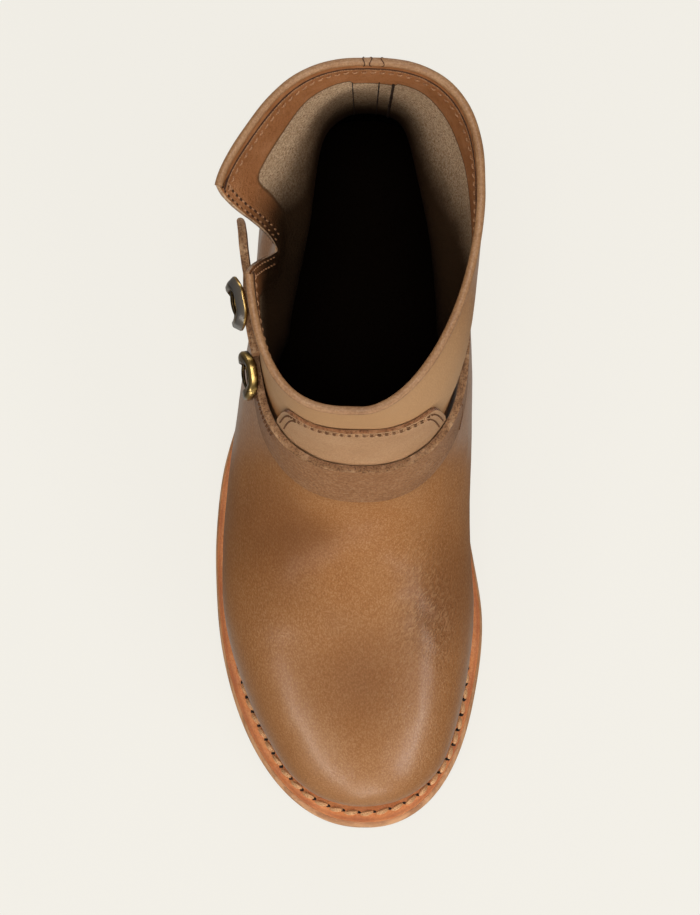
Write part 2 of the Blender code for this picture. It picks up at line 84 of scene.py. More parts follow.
class Side(Enum):
    """Side of the foot, with its direction along X."""

    MEDIAL = 1
    LATERAL = -1


class SoleRow(NamedTuple):
    """Plan of the sole at one place along it."""

    y: float
    axis: float
    medial: float
    lateral: float


class FootRow(NamedTuple):
    """Section of the foot at one place along it."""

    y: float
    axis: float
    medial: float
    lateral: float
    ridge: float
    belly: float


class ShaftRow(NamedTuple):
    """Level section of the shaft at one height."""

    z: float
    front: float
    back: float
    wide: float
    axis: float
    medial: float
    lateral: float
    square_medial: float
    square_lateral: float
    taper_medial: float
    taper_lateral: float


class FoldRow(NamedTuple):
    """Soft fold of the lateral shaft wall, outwards where positive."""

    y: float
    z: float
    out: float
    reach_front: float
    reach_back: float
    reach_z: float


class RingRow(NamedTuple):
    """Where one ring of the upper runs, from the feather line (0) to the collar (1)."""

    t: float
    front_y: float
    front_z: float
    wide_y: float
    wide_z: float
    back_y: float
    back_z: float
    half: float


def smooth(table: Sequence[tuple], column: str, at: Array | float) -> Array:
    """Read a table column along its first column, on a cubic through the rows.

    Args:
        table: Rows in rising order of their first column.
        column: Name of the column to read.
        at: Places along the first column.

    Returns:
        The column's value at each place.
    """
    knots = np.array([row[0] for row in table], dtype=float)
    values = np.array([getattr(row, column) for row in table], dtype=float)
    slopes = np.gradient(values, knots)
    at = np.clip(np.asarray(at, dtype=float), knots[0], knots[-1])
    low = np.clip(np.searchsorted(knots, at, side="right") - 1, 0, len(knots) - 2)
    span = knots[low + 1] - knots[low]
    u = (at - knots[low]) / span
    return (
        values[low] * (1 + 2 * u) * (1 - u) ** 2
        + values[low + 1] * u * u * (3 - 2 * u)
        + span * u * (1 - u) * (slopes[low] * (1 - u) - slopes[low + 1] * u)
    )


def ease(value: Array | float, start: float, end: float) -> Array:
    """Smooth step from 0 at start to 1 at end."""
    u = np.clip((np.asarray(value, dtype=float) - start) / (end - start), 0.0, 1.0)
    return u * u * (3 - 2 * u)


def bell(distance: Array | float, reach: float) -> Array:
    """Soft bump, 1 at distance 0 and near 0 beyond twice its reach."""
    return np.exp(-((np.asarray(distance, dtype=float) / reach) ** 2))


def unit(vectors: Array) -> Array:
    """Vectors scaled to length 1 along their last axis."""
    return vectors / np.maximum(np.linalg.norm(vectors, axis=-1, keepdims=True), 1e-9)


@dataclass(frozen=True)
class Last:
    """The last that upper, straps and collar are shaped on: foot and shaft blended at the instep."""

    sole_tip: float = -90.1
    sole_back: float = 180.0
    sole_ball: float = 0.0
    sole_heel: float = 142.0
    toe_round_medial: float = 2.15
    toe_round_lateral: float = 2.24
    heel_round: float = 2.1
    outsole_thick: float = 5.0
    welt_thick: float = 3.5
    insole_thick: float = 3.0
    heel_height: float = 26.0
    heel_breast: float = 112.0
    tread_front: float = -25.0
    tread_back: float = 15.0
    toe_spring: float = 9.0
    spring_power: float = 1.7
    toe_tip: float = -78.1
    foot_rear: float = 85.0
    foot_end: float = 150.0
    foot_dome: float = 2.15
    feather_tuck: float = 0.065
    back_round_medial: float = 2.65
    back_round_lateral: float = 2.3
    taper_limit: float = 1.2
    instep_blend: float = 34.0
    field_scale: float = 36.0
    cast_reach: float = 150.0
    collar_z: float = 168.0
    shaft_centre: Span = (4.0, 120.0)
    sole: tuple[SoleRow, ...] = (
        SoleRow(-90, 6.0, 50.4, 51.3),
        SoleRow(-45, 3.0, 49.2, 51.6),
        SoleRow(-8, 0.5, 49.9, 51.2),
        SoleRow(19, 0.0, 45.8, 51.1),
        SoleRow(45, 1.0, 41.0, 49.0),
        SoleRow(70, 2.5, 36.5, 43.0),
        SoleRow(100, 4.5, 33.0, 37.5),
        SoleRow(135, 5.0, 33.0, 35.0),
        SoleRow(180, 5.0, 33.0, 35.0),
    )
    foot: tuple[FootRow, ...] = (
        FootRow(-78, 5.0, 55.0, 55.0, 58, 17),
        FootRow(-60, 4.3, 48.4, 48.4, 59, 18.5),
        FootRow(-40, 2.2, 46.2, 46.4, 60, 20),
        FootRow(0, 0.0, 45.7, 47.2, 63, 24),
        FootRow(25, 0.0, 44.0, 46.6, 68, 24),
        FootRow(45, 0.5, 42.0, 44.5, 75, 22),
        FootRow(70, 2.0, 37.0, 39.0, 82, 18),
        FootRow(100, 4.0, 30.0, 30.0, 84, 16),
        FootRow(140, 5.0, 26.0, 26.0, 84, 16),
        FootRow(180, 5.0, 24.0, 24.0, 84, 16),
    )
    shaft: tuple[ShaftRow, ...] = (
        ShaftRow(30, 60, 174.0, 135, 5.0, 31.5, 33.0, 2.2, 2.2, 0.00, 0.00),
        ShaftRow(52, 48, 176.0, 130, 5.0, 34.5, 36.5, 2.2, 2.2, 0.00, 0.00),
        ShaftRow(75, 37, 174.0, 118, 5.0, 34.0, 35.5, 2.3, 2.4, 0.05, 0.08),
        ShaftRow(97, 40, 171.5, 100, 5.0, 33.0, 35.5, 2.3, 2.4, 0.10, 0.20),
        ShaftRow(115, 49, 170.0, 95, 5.0, 33.0, 36.0, 2.3, 2.4, 0.10, 0.24),
        ShaftRow(140, 58, 172.5, 112, 4.5, 36.5, 36.0, 2.5, 2.8, 0.05, 0.16),
        ShaftRow(168, 64, 177.6, 135, 4.0, 39.0, 38.0, 1.8, 3.0, 0.00, 0.00),
    )
    folds: tuple[FoldRow, ...] = (
        FoldRow(133, 172, 9.6, 10, 21, 30),
        FoldRow(120, 130, -4.0, 14, 20, 20),
    )
    ring_rows: tuple[RingRow, ...] = (
        RingRow(0.00, -75, 14.8, 30, 10.5, 176, 35.1, 44),
        RingRow(0.10, -78, 30, 35, 26, 179, 49, 46),
        RingRow(0.22, -62, 49, 50, 44, 179, 62, 44),
        RingRow(0.36, -22, 60, 72, 60, 178, 75, 40),
        RingRow(0.52, 16, 76, 95, 82, 176, 92, 36),
        RingRow(0.68, 40, 98, 115, 107, 173, 111, 37),
        RingRow(0.84, 56, 133, 128, 137, 174, 138, 38),
        RingRow(1.00, 64, 168, 135, 168, 178, 168, 38),
    )

    def sole_bottom(self, y: Array) -> Array:
        """Height of the outsole's lower face: toe spring, flat tread, arch, level heel seat."""
        spring = np.clip((self.tread_front - y) / (self.tread_front - self.sole_tip), 0.0, 1.0)
        arch = ease(y, self.tread_back, self.heel_breast - 2)
        return self.toe_spring * spring**self.spring_power + self.heel_height * arch

    def outsole_top(self, y: Array) -> Array:
        """Height of the outsole's upper face."""
        return self.sole_bottom(y) + self.outsole_thick

    def feather(self, y: Array) -> Array:
        """Height of the upper's lower edge, on top of outsole and welt."""
        return self.outsole_top(y) + self.welt_thick + 2 * GAP

    def foot_field(self, x: Array, y: Array, z: Array) -> Array:
        """Signed measure of the foot, negative inside and about millimetres near its skin."""
        axis = smooth(self.foot, "axis", y)
        half = np.where(x > axis, smooth(self.foot, "medial", y), smooth(self.foot, "lateral", y))
        low = self.feather(y)
        belly = smooth(self.foot, "belly", y)
        rise = smooth(self.foot, "ridge", y) - low - belly
        forward = np.maximum(-y, 0) / -self.toe_tip
        rearward = np.maximum(y - self.foot_rear, 0) / (self.foot_end - self.foot_rear)
        below = np.clip((low + belly - z) / belly, 0.0, self.taper_limit)
        plan = np.sqrt((np.abs(x - axis) / half) ** 2 + forward**2 + rearward**2)
        plan = plan / (1 - self.feather_tuck * below**2)
        above = np.maximum(z - low - belly, 0) / rise
        power = self.foot_dome
        return self.field_scale * ((plan**power + above**power) ** (1 / power) - 1)

    def fold_depth(self, y: Array, z: Array) -> Array:
        """Sum of the shaft's folds at places on its lateral wall."""
        total = np.zeros(np.broadcast(y, z).shape)
        for fold in self.folds:
            reach = np.where(y < fold.y, fold.reach_front, fold.reach_back)
            along = (y - fold.y) / reach
            rise = (z - fold.z) / fold.reach_z
            total = total + fold.out * np.exp(-(along**2) - rise**2)
        return total

    def shaft_field(self, x: Array, y: Array, z: Array) -> Array:
        """Signed measure of heel and shaft, from their level sections."""
        at = {name: smooth(self.shaft, name, z) for name in ShaftRow._fields[1:]}
        medial = x > at["axis"]
        front = y < at["wide"]
        half = np.where(medial, at["medial"], at["lateral"] + self.fold_depth(y, z))
        length = np.where(front, at["wide"] - at["front"], at["back"] - at["wide"])
        front_power = np.where(medial, at["square_medial"], at["square_lateral"])
        back_power = np.where(medial, self.back_round_medial, self.back_round_lateral)
        power = np.where(front, front_power, back_power)
        along = np.abs(y - at["wide"]) / length
        taper = np.where(front, 0.0, np.where(medial, at["taper_medial"], at["taper_lateral"]))
        across = np.abs(x - at["axis"]) / (half * (1 - taper * np.minimum(along, self.taper_limit)))
        return self.field_scale * ((across**power + along**power) ** (1 / power) - 1)

    def field(self, points: Array) -> Array:
        """Foot and shaft joined with a soft blend at the instep.

        Args:
            points: Places, an array (..., 3).

        Returns:
            The signed measure at each place.
        """
        x, y, z = np.moveaxis(points, -1, 0)
        foot = self.foot_field(x, y, z)
        shaft = self.shaft_field(x, y, z)
        near = np.maximum(self.instep_blend - np.abs(foot - shaft), 0) / self.instep_blend
        return np.minimum(foot, shaft) - near * near * self.instep_blend / 4

    def gradient(self, points: Array) -> Array:
        """Gradient of the field at an array of points (..., 3)."""
        step = 0.05
        rises = []
        for axis in range(3):
            shift = np.zeros(3)
            shift[axis] = step
            rises.append((self.field(points + shift) - self.field(points - shift)) / (2 * step))
        return np.stack(rises, axis=-1)

    def normal(self, points: Array) -> Array:
        """Outward unit normals of the skin."""
        return unit(self.gradient(points))

    def settle(self, points: Array, free: Array, rounds: int) -> Array:
        """Move points onto the skin.

        Args:
            points: Places to move, an array (..., 3).
            free: Each point's freedom along X, Y and Z, from 0 to 1.
            rounds: Newton steps to take.

        Returns:
            The points on the skin.
        """
        for _ in range(rounds):
            value = self.field(points)
            slope = self.gradient(points) * free
            square = np.maximum((slope * slope).sum(axis=-1), 1e-4)
            stride = np.clip(value / square, -20, 20)
            points = points - 0.8 * stride[..., None] * slope
        return points

    def rings(self, count: int, around: int) -> Array:
        """Rings of the upper's outer skin, from the feather line up to the collar.

        Args:
            count: Number of rings.
            around: Points on each ring, from the toe round the inner side.

        Returns:
            Points, an array (count, around, 3).
        """
        t = np.linspace(0.0, 1.0, count)[:, None]
        turn = (np.arange(around) * 2 * math.pi / around)[None, :]
        row = {name: smooth(self.ring_rows, name, t) for name in RingRow._fields[1:]}
        cosine, sine = np.cos(turn), np.sin(turn)
        front, back = np.maximum(cosine, 0), np.maximum(-cosine, 0)
        wide = row["wide_y"]
        y = wide + (row["front_y"] - wide) * front + (row["back_y"] - wide) * back
        level = {name: row[name + "_z"] for name in ("front", "wide", "back")}
        above = {name: level[name] - self.feather(row[name + "_y"]) for name in level}
        high, rise = (
            at["wide"] + (at["front"] - at["wide"]) * front**2 + (at["back"] - at["wide"]) * back**2
            for at in (level, above)
        )
        z = (1 - t) * (self.feather(y) + rise) + t * high
        x = smooth(self.foot, "axis", y) * (1 - t) + self.shaft_centre[0] * t + row["half"] * sine
        z[0] = self.feather(y[0])
        lift = np.clip(np.minimum(t, 1 - t) * 12, 0, 1) + 0 * turn
        free = np.stack([np.ones_like(lift), np.ones_like(lift), lift], axis=-1)
        points = np.stack([x, y, z], axis=-1)
        for _ in range(4):
            points = self.settle(points, free, 15)
            points[0, :, 2] = self.feather(points[0, :, 1])
        return points

    def cast(self, start: Array, way: Array) -> Array:
        """Places where straight lines from inside the last leave its skin, found by halving.

        Args:
            start: Where the lines start, an array (..., 3).
            way: Their directions, of length 1.

        Returns:
            The places, an array (..., 3).
        """
        near, far = np.zeros(start.shape[:-1]), np.full(start.shape[:-1], self.cast_reach)
        for _ in range(40):
            middle = (near + far) / 2
            points = start + middle[..., None] * way
            inside = self.field(points) < 0
            near, far = np.where(inside, middle, near), np.where(inside, far, middle)
        return points

    def shaft_points(self, bearing: Array | float, z: Array | float, lift: Array | float) -> Array:
        """Points on the shaft's skin, raised outwards.

        Args:
            bearing: Degrees about the shaft's centre, 0 at the toe, positive on the inner side.
            z: Heights.
            lift: Distances off the skin.

        Returns:
            Points, an array (..., 3).
        """
        bearing, z, lift = np.broadcast_arrays(
            np.asarray(bearing, float), np.asarray(z, float), np.asarray(lift, float)
        )
        turn = np.radians(bearing)
        level = np.zeros(turn.shape)
        x, y = self.shaft_centre
        start = np.stack([level + x, level + y, z], axis=-1)
        points = self.cast(start, np.stack([np.sin(turn), -np.cos(turn), level], axis=-1))
        return points + self.normal(points) * lift[..., None]

    def girth_line(self, rear: float, count: int) -> Array:
        """Plan outline of the foot at its widest girth, from the outer side round the toe.

        Args:
            rear: Y where the outline starts and ends.
            count: Points on each side.

        Returns:
            Points, an array (2 * count - 1, 2).
        """
        y = self.toe_tip + (rear - self.toe_tip) * np.linspace(1.0, 0.0, count) ** 2
        across = np.sqrt(np.maximum(1 - (np.maximum(-y, 0) / -self.toe_tip) ** 2, 0))
        axis = smooth(self.foot, "axis", y)
        lateral = np.stack([axis - smooth(self.foot, "lateral", y) * across, y], axis=-1)
        medial = np.stack([axis + smooth(self.foot, "medial", y) * across, y], axis=-1)
        return np.concatenate([lateral, medial[-2::-1]])

    def sole_half(self, y: Array, side: Side) -> Array:
        """Half-width of the sole beside its axis, with rounded toe and heel ends."""
        medial = side is Side.MEDIAL
        power = self.toe_round_medial if medial else self.toe_round_lateral
        toe = np.clip((self.sole_ball - y) / (self.sole_ball - self.sole_tip), 0, 1)
        heel = np.clip((y - self.sole_heel) / (self.sole_back - self.sole_heel), 0, 1)
        ends = (1 - toe**power) ** (1 / power) * (1 - heel**self.heel_round) ** (1 / self.heel_round)
        return smooth(self.sole, "medial" if medial else "lateral", y) * ends

    def sole_ring(self, stations: int) -> Array:
        """Closed plan outline of the sole: inner side from toe to heel, then outer side back."""
        turn = np.linspace(0.0, math.pi, stations + 2)[1:-1]
        middle, half = (self.sole_tip + self.sole_back) / 2, (self.sole_back - self.sole_tip) / 2
        y = middle - half * np.cos(turn)
        axis = smooth(self.sole, "axis", y)
        medial = np.stack([axis + self.sole_half(y, Side.MEDIAL), y], axis=-1)
        lateral = np.stack([axis - self.sole_half(y, Side.LATERAL), y], axis=-1)
        return np.concatenate([medial, lateral[::-1]])


def inset(ring: Array, distance: Array | float) -> Array:
    """A closed plan outline, counter-clockwise, moved inwards.

    Args:
        ring: Outline points, an array (n, 2).
        distance: How far to move, one value or one for each point.

    Returns:
        The moved outline.
    """
    along = unit(np.roll(ring, -1, axis=0) - np.roll(ring, 1, axis=0))
    inward = np.stack([-along[:, 1], along[:, 0]], axis=-1)
    return ring + inward * np.broadcast_to(distance, (len(ring),))[:, None]


class Shader:
    """One material's node tree, with short calls to add and join nodes."""

    def __init__(self, name: str) -> None:
        """Start a material with its principled shader.

        Args:
            name: Name of the material.
        """
        self.material = bpy.data.materials.new(name)
        self.material.use_nodes = True
        self.tree = self.material.node_tree
        self.surface = self.tree.nodes["Principled BSDF"]
        self.place = self.tree.nodes.new("ShaderNodeTexCoord").outputs["Object"]

    def add(self, kind: str, inputs: dict[str | int, object] | None = None, **settings: object) -> Node:
        """Add a node.

        Args:
            kind: Node type without its ShaderNode prefix.
            inputs: Values or output sockets for the node's inputs, by name or number.
            settings: Properties of the node.

        Returns:
            The new node.
        """
        node = self.tree.nodes.new("ShaderNode" + kind)
        for name, value in settings.items():
            setattr(node, name, value)
        for key, value in (inputs or {}).items():
            self.feed(node.inputs[key], value)
        return node

    def feed(self, socket: NodeSocket, value: object) -> None:
        """Link an output to a socket, or set the socket's own value."""
        if isinstance(value, NodeSocket):
            self.tree.links.new(value, socket)
        elif socket.type == "RGBA" and len(value) == 3:
            socket.default_value = (*value, 1.0)
        else:
            socket.default_value = value

    def set(self, **values: object) -> None:
        """Set or link inputs of the principled shader, written with underscores for spaces."""
        for name, value in values.items():
            self.feed(self.surface.inputs[name.replace("_", " ")], value)

    def stretched(self, scale: Triple) -> NodeSocket:
        """Object coordinates scaled along each axis."""
        return self.add("Mapping", {"Vector": self.place, "Scale": scale}).outputs["Vector"]

    def slanted(self, turn: float, stretch: float) -> NodeSocket:
        """Object coordinates drawn out along a level direction, which is turned from +X."""
        inputs = {"Vector": self.place, "Rotation": (0.0, 0.0, turn), "Scale": (stretch, 1.0, 1.0)}
        return self.add("Mapping", inputs, vector_type="TEXTURE").outputs["Vector"]

    def noise(
        self, scale: float, detail: float, roughness: float, at: NodeSocket | None = None
    ) -> NodeSocket:
        """Noise around 0.5, in features to the metre, over the object or other coordinates."""
        inputs = {"Vector": at or self.place, "Scale": scale, "Detail": detail, "Roughness": roughness}
        return self.add("TexNoise", inputs).outputs["Fac"]

    def cells(self, scale: float, at: NodeSocket | None = None) -> NodeSocket:
        """Distance from the middles of a pattern of cells, in cells to the metre."""
        return self.add("TexVoronoi", {"Vector": at or self.place, "Scale": scale}).outputs["Distance"]

    def span(
        self, value: NodeSocket, low: float, high: float, to_low: float = 0.0, to_high: float = 1.0
    ) -> NodeSocket:
        """Map a value from one range to another, smoothly and with its ends held."""
        inputs = {"Value": value, "From Min": low, "From Max": high, "To Min": to_low, "To Max": to_high}
        return self.add("MapRange", inputs, interpolation_type="SMOOTHSTEP").outputs["Result"]

    def math(self, operation: str, a: object, b: object) -> NodeSocket:
        """Result of a sum or product of two values."""
        return self.add("Math", {0: a, 1: b}, operation=operation).outputs["Value"]

    def times(self, a: NodeSocket, b: object) -> NodeSocket:
        """Product of two values."""
        return self.math("MULTIPLY", a, b)

    def mix(self, share: object, a: object, b: object) -> NodeSocket:
        """Mix two colours.

        Args:
            share: How much of the second colour.
            a: First colour.
            b: Second colour.

        Returns:
            The mixed colour.
        """
        node = self.add("Mix", data_type="RGBA")
        self.feed(node.inputs["Factor"], share)
        colours = [socket for socket in node.inputs if socket.type == "RGBA"]
        self.feed(colours[0], a)
        self.feed(colours[1], b)
        return next(socket for socket in node.outputs if socket.type == "RGBA")

    def tinge(
        self, colour: object, tone: Colour, value: NodeSocket, low: float, high: float, most: float = 1.0
    ) -> NodeSocket:
        """Colour turned towards a tone, up to a share, as a value goes from low to high."""
        return self.mix(self.span(value, low, high, 0.0, most), colour, tone)

    def painted(self, name: str) -> NodeSocket:
        """Value of a named attribute of the mesh."""
        return self.add("Attribute", attribute_name=name).outputs["Fac"]

    def bump(self, height: NodeSocket, depth: float, under: NodeSocket | None = None) -> NodeSocket:
        """Bend the normal by a height.

        Args:
            height: Height pattern, about 0 to 1.
            depth: Height in metres of a pattern value of 1.
            under: Normal from a coarser bump.

        Returns:
            The bent normal.
        """
        inputs = {"Height": height, "Distance": depth, "Strength": 1.0}
        if under is not None:
            inputs["Normal"] = under
        return self.add("Bump", inputs).outputs["Normal"]


def srgb(red: int, green: int, blue: int) -> Colour:
    """Linear colour of an sRGB triple of 0 to 255."""
    shares = (value / 255 for value in (red, green, blue))
    return tuple(s / 12.92 if s <= 0.04045 else ((s + 0.055) / 1.055) ** 2.4 for s in shares)


@dataclass(frozen=True)
class Leather:
    """Grained leather: mottled colour, fine grain, drifting gloss, painted light and dark places, and
    wrinkles with painted shade in their valleys and painted highlights on their ridges.
    """

    name: str
    base: Colour
    dark: Colour
    light: Colour
    grain: float = 900.0
    grain_depth: float = 0.00012
    stretch: Triple = (1.0, 1.0, 1.0)
    mottle: float = 45.0
    gloss: Span = (0.38, 0.55)
    coat: float = 0.15
    contrast: float = 0.4
    fleck: float = 0.3
    specular: float = 0.45
    matte: float = 0.0
    tint: Colour = (1.0, 1.0, 1.0)
    coat_rough: float = 0.3
    wrinkle: float = 0.0
    wrinkle_pitch: float = 1050.0
    wrinkle_turn: float = 50.0
    wrinkle_stretch: float = 2.6

    def build(self) -> Material:
        """Make the material.

        Returns:
            The material, which reads the mesh attribute "shade" (-1 dark to 1 light), and "matte" and
            "wrinkle" (0 to 1) where the finish has dull or wrinkled places.
        """
        shader = Shader(self.name)
        along = shader.stretched(self.stretch)
        patches = shader.noise(self.mottle, 5.0, 0.6, along)
        colour = shader.tinge(self.base, self.dark, patches, 0.5, 0.3, self.contrast)
        colour = shader.tinge(colour, self.light, patches, 0.5, 0.72, self.contrast)
        fine = shader.noise(self.grain, 3.0, 0.7, along)
        colour = shader.tinge(colour, self.light, fine, 0.48, 0.64, self.fleck)
        colour = shader.tinge(colour, self.dark, fine, 0.52, 0.36, self.fleck)
        shade = shader.painted("shade")
        colour = shader.tinge(colour, self.light, shade, 0.0, 1.0, 0.85)
        colour = shader.tinge(colour, self.dark, shade, 0.0, -1.0, 0.9)
        pores = shader.cells(self.grain, along)
        wrinkles = shader.noise(self.grain * 0.4, 4.0, 0.6, along)
        normal = shader.bump(wrinkles, self.grain_depth * 2.2)
        normal = shader.bump(pores, self.grain_depth, normal)
        if self.wrinkle:
            slant = shader.slanted(math.radians(self.wrinkle_turn), self.wrinkle_stretch)
            folds = shader.span(shader.noise(self.wrinkle_pitch, 2.0, 0.5, slant), 0.36, 0.64)
            zone = shader.painted("wrinkle")
            normal = shader.bump(shader.times(folds, zone), self.wrinkle, normal)
            # Painted shade in the wrinkles' valleys and painted highlights on their ridges.
            valley_shade = shader.times(shader.span(folds, 0.5, 0.0, 0.0, 0.24), zone)
            ridge_highlight = shader.times(shader.span(folds, 0.6, 1.0, 0.0, 0.2), zone)
            colour = shader.mix(ridge_highlight, shader.mix(valley_shade, colour, self.dark), self.light)
        rough = shader.span(shader.noise(self.mottle * 2.2, 3.0, 0.5), 0.3, 0.7, *self.gloss)
        coat = self.coat
        if self.matte:
            dull = shader.painted("matte")
            coat = shader.span(dull, 0.0, 1.0, self.coat, self.coat * (1.0 - self.matte))
            rough = shader.math("ADD", rough, shader.span(dull, 0.0, 1.0, 0.0, 0.5 * self.matte))
        shader.set(Base_Color=colour, Roughness=rough, Normal=normal)
        shader.set(Coat_Weight=coat, Coat_Roughness=self.coat_rough)
        shader.set(Specular_IOR_Level=self.specular, Specular_Tint=self.tint)
        return shader.material


@dataclass(frozen=True)
class RawEdge:
    """Cut edge of leather: loose fibres, dark between them."""

    name: str
    base: Colour
    dark: Colour
    light: Colour
    stretch: Triple = (1.0, 1.0, 0.35)
    fibre: float = 1500.0

    def build(self) -> Material:
        """Make the material."""
        shader = Shader(self.name)
        along = shader.stretched(self.stretch)
        fibres = shader.noise(self.fibre, 5.0, 0.75, along)
        clumps = shader.noise(self.fibre * 0.2, 3.0, 0.6, along)
        colour = shader.tinge(self.dark, self.base, fibres, 0.38, 0.55)
        colour = shader.tinge(colour, self.light, clumps, 0.5, 0.72, 0.8)
        colour = shader.tinge(colour, self.dark, clumps, 0.45, 0.28, 0.7)
        normal = shader.bump(fibres, 0.0006)
        shader.set(Base_Color=colour, Normal=normal, Roughness=0.9)
        shader.set(Specular_IOR_Level=0.2, Sheen_Weight=0.25)
        return shader.material


@dataclass(frozen=True)
class Lining:
    """Inside of the shaft: a leather facing along collar and notch, felt below it, and painted shade that
    darkens it further down to near black.
    """

    name: str = "lining"
    facing: Colour = srgb(168, 110, 68)
    facing_dark: Colour = srgb(136, 84, 48)
    facing_light: Colour = srgb(194, 136, 92)
    felt: Colour = srgb(214, 184, 150)
    felt_dark: Colour = srgb(168, 134, 100)
    felt_speck: Colour = srgb(84, 62, 42)
    # dusk and deep are painted shade: the lining darkened with depth, to dark brown and then near black
    # inside the foot.
    dusk: Colour = srgb(66, 48, 32)
    deep: Colour = srgb(8, 5, 3)
    dusk_depth: Span = (21.0, 50.0)
    deep_depth: Span = (50.0, 98.0)

    def build(self) -> Material:
        """Make the material.

        Returns:
            The material, which reads the mesh attributes "felt" (mm below the facing's edge) and "depth"
            (mm below the collar, made larger towards the front), which sets how dark the painted shade is.
        """
        shader = Shader(self.name)
        edge = shader.painted("felt")
        depth = shader.painted("depth")
        fluff = shader.noise(1300.0, 5.0, 0.75)
        patches = shader.noise(120.0, 4.0, 0.6)
        felt = shader.tinge(self.felt_dark, self.felt, fluff, 0.38, 0.6)
        felt = shader.tinge(felt, self.felt_dark, patches, 0.45, 0.25, 0.3)
        specks = shader.noise(2100.0, 2.0, 0.6)
        felt = shader.tinge(felt, self.felt_speck, specks, 0.42, 0.3, 0.85)
        grain = shader.noise(420.0, 4.0, 0.65)
        facing = shader.tinge(self.facing, self.facing_dark, grain, 0.5, 0.3, 0.5)
        facing = shader.tinge(facing, self.facing_light, patches, 0.45, 0.75, 0.6)
        is_felt = shader.span(edge, -0.15, 0.25)
        colour = shader.mix(is_felt, facing, felt)
        # Painted shade along the facing's lower edge, where it steps over the felt.
        rim = shader.times(shader.span(edge, -0.9, -0.1), shader.span(edge, 0.5, 0.1))
        colour = shader.mix(shader.times(rim, 0.7), colour, self.felt_speck)
        # Painted shade: darker with depth below the collar, to dark brown and then near black.
        below = shader.math("ADD", depth, shader.span(patches, 0.2, 0.8, -2.0, 2.0))
        colour = shader.tinge(colour, self.dusk, below, *self.dusk_depth)
        colour = shader.tinge(colour, self.deep, below, *self.deep_depth)
        normal = shader.bump(fluff, 0.0005)
        normal = shader.bump(shader.cells(900.0), 0.0002, normal)
        rough = shader.span(edge, -0.2, 0.2, 0.62, 0.95)
        shader.set(Base_Color=colour, Normal=normal, Roughness=rough, Specular_IOR_Level=0.04)
        return shader.material


@dataclass(frozen=True)
class Brass:
    """Worn antique brass: dark in the hollows, brighter on the rubbed edges, grey on the dulled faces."""

    name: str = "antique_brass"
    base: Colour = srgb(112, 88, 46)
    tarnish: Colour = srgb(52, 40, 22)
    rubbed: Colour = srgb(184, 152, 90)
    dull: Colour = srgb(94, 90, 86)

    def build(self) -> Material:
        """Make the material, which reads the mesh attributes "shade" (rubbed) and "dull"."""
        shader = Shader(self.name)
        stains = shader.noise(260.0, 5.0, 0.65)
        colour = shader.tinge(self.tarnish, self.base, stains, 0.36, 0.62)
        colour = shader.tinge(colour, self.rubbed, shader.painted("shade"), 0.0, 1.0)
        colour = shader.mix(shader.painted("dull"), colour, self.dull)
        scratches = shader.noise(900.0, 3.0, 0.6, shader.stretched((1.0, 0.2, 1.0)))
        rough = shader.span(stains, 0.3, 0.7, 0.42, 0.24)
        metal = shader.span(shader.painted("dull"), 0.0, 1.0, 1.0, 0.3)
        normal = shader.bump(scratches, 0.00006)
        shader.set(Base_Color=colour, Metallic=metal, Roughness=rough, Normal=normal)
        return shader.material


@dataclass(frozen=True)
class Thread:
    """Waxed thread with a fine twist."""

    name: str
    base: Colour
    dark: Colour

    def build(self) -> Material:
        """Make the material."""
        shader = Shader(self.name)
        twist = shader.noise(2600.0, 3.0, 0.6)
        colour = shader.tinge(self.dark, self.base, twist, 0.35, 0.6)
        normal = shader.bump(twist, 0.00015)
        shader.set(Base_Color=colour, Roughness=0.7, Normal=normal, Specular_IOR_Level=0.3)
        return shader.material


@dataclass(frozen=True)
class Stacked:
    """Stacked or cut sole leather seen on its edge: thin level layers, burnished."""

    name: str
    base: Colour
    dark: Colour
    light: Colour
    layer: float = 960.0
    rough: float = 0.5

    def build(self) -> Material:
        """Make the material."""
        shader = Shader(self.name)
        level = shader.stretched((0.06, 0.06, 1.0))
        layers = shader.noise(self.layer, 3.0, 0.6, level)
        fibres = shader.noise(800.0, 4.0, 0.7)
        colour = shader.tinge(self.dark, self.base, layers, 0.36, 0.6)
        colour = shader.tinge(colour, self.light, fibres, 0.52, 0.75, 0.6)
        scuffs = shader.noise(130.0, 5.0, 0.7)
        colour = shader.tinge(colour, self.light, scuffs, 0.58, 0.74, 0.75)
        colour = shader.tinge(colour, self.dark, scuffs, 0.4, 0.26, 0.75)
        normal = shader.bump(layers, 0.0002)
        normal = shader.bump(fibres, 0.0002, normal)
        shader.set(Base_Color=colour, Roughness=self.rough, Normal=normal, Specular_IOR_Level=0.35)
        return shader.material


def wander(points: Array, size: float, seed: float) -> Array:
    """Repeatable soft noise from -1 to 1 at each place.

    Args:
        points: Places in millimetres, an array (..., 3).
        size: Wavelength of the noise in millimetres.
        seed: Shift that gives another pattern.

    Returns:
        The noise at each place.
    """
    x, y, z = np.moveaxis(points / size * 2 * math.pi, -1, 0)
    waves = (
        np.sin(1.00 * x + 0.61 * y + 0.35 * z + seed)
        + np.sin(-0.73 * x + 1.13 * y + 0.52 * z + 2.3 * seed)
        + np.sin(0.41 * x - 0.87 * y + 1.21 * z + 4.1 * seed)
        + np.sin(1.63 * x + 0.29 * y - 1.47 * z + 5.7 * seed)
    )
    return waves / 4


class Wave(NamedTuple):
    """Soft noise of one height and wavelength."""

    height: float
    size: float
    seed: float

    def at(self, points: Array) -> Array:
        """The noise at each place."""
        return self.height * wander(points, self.size, self.seed)


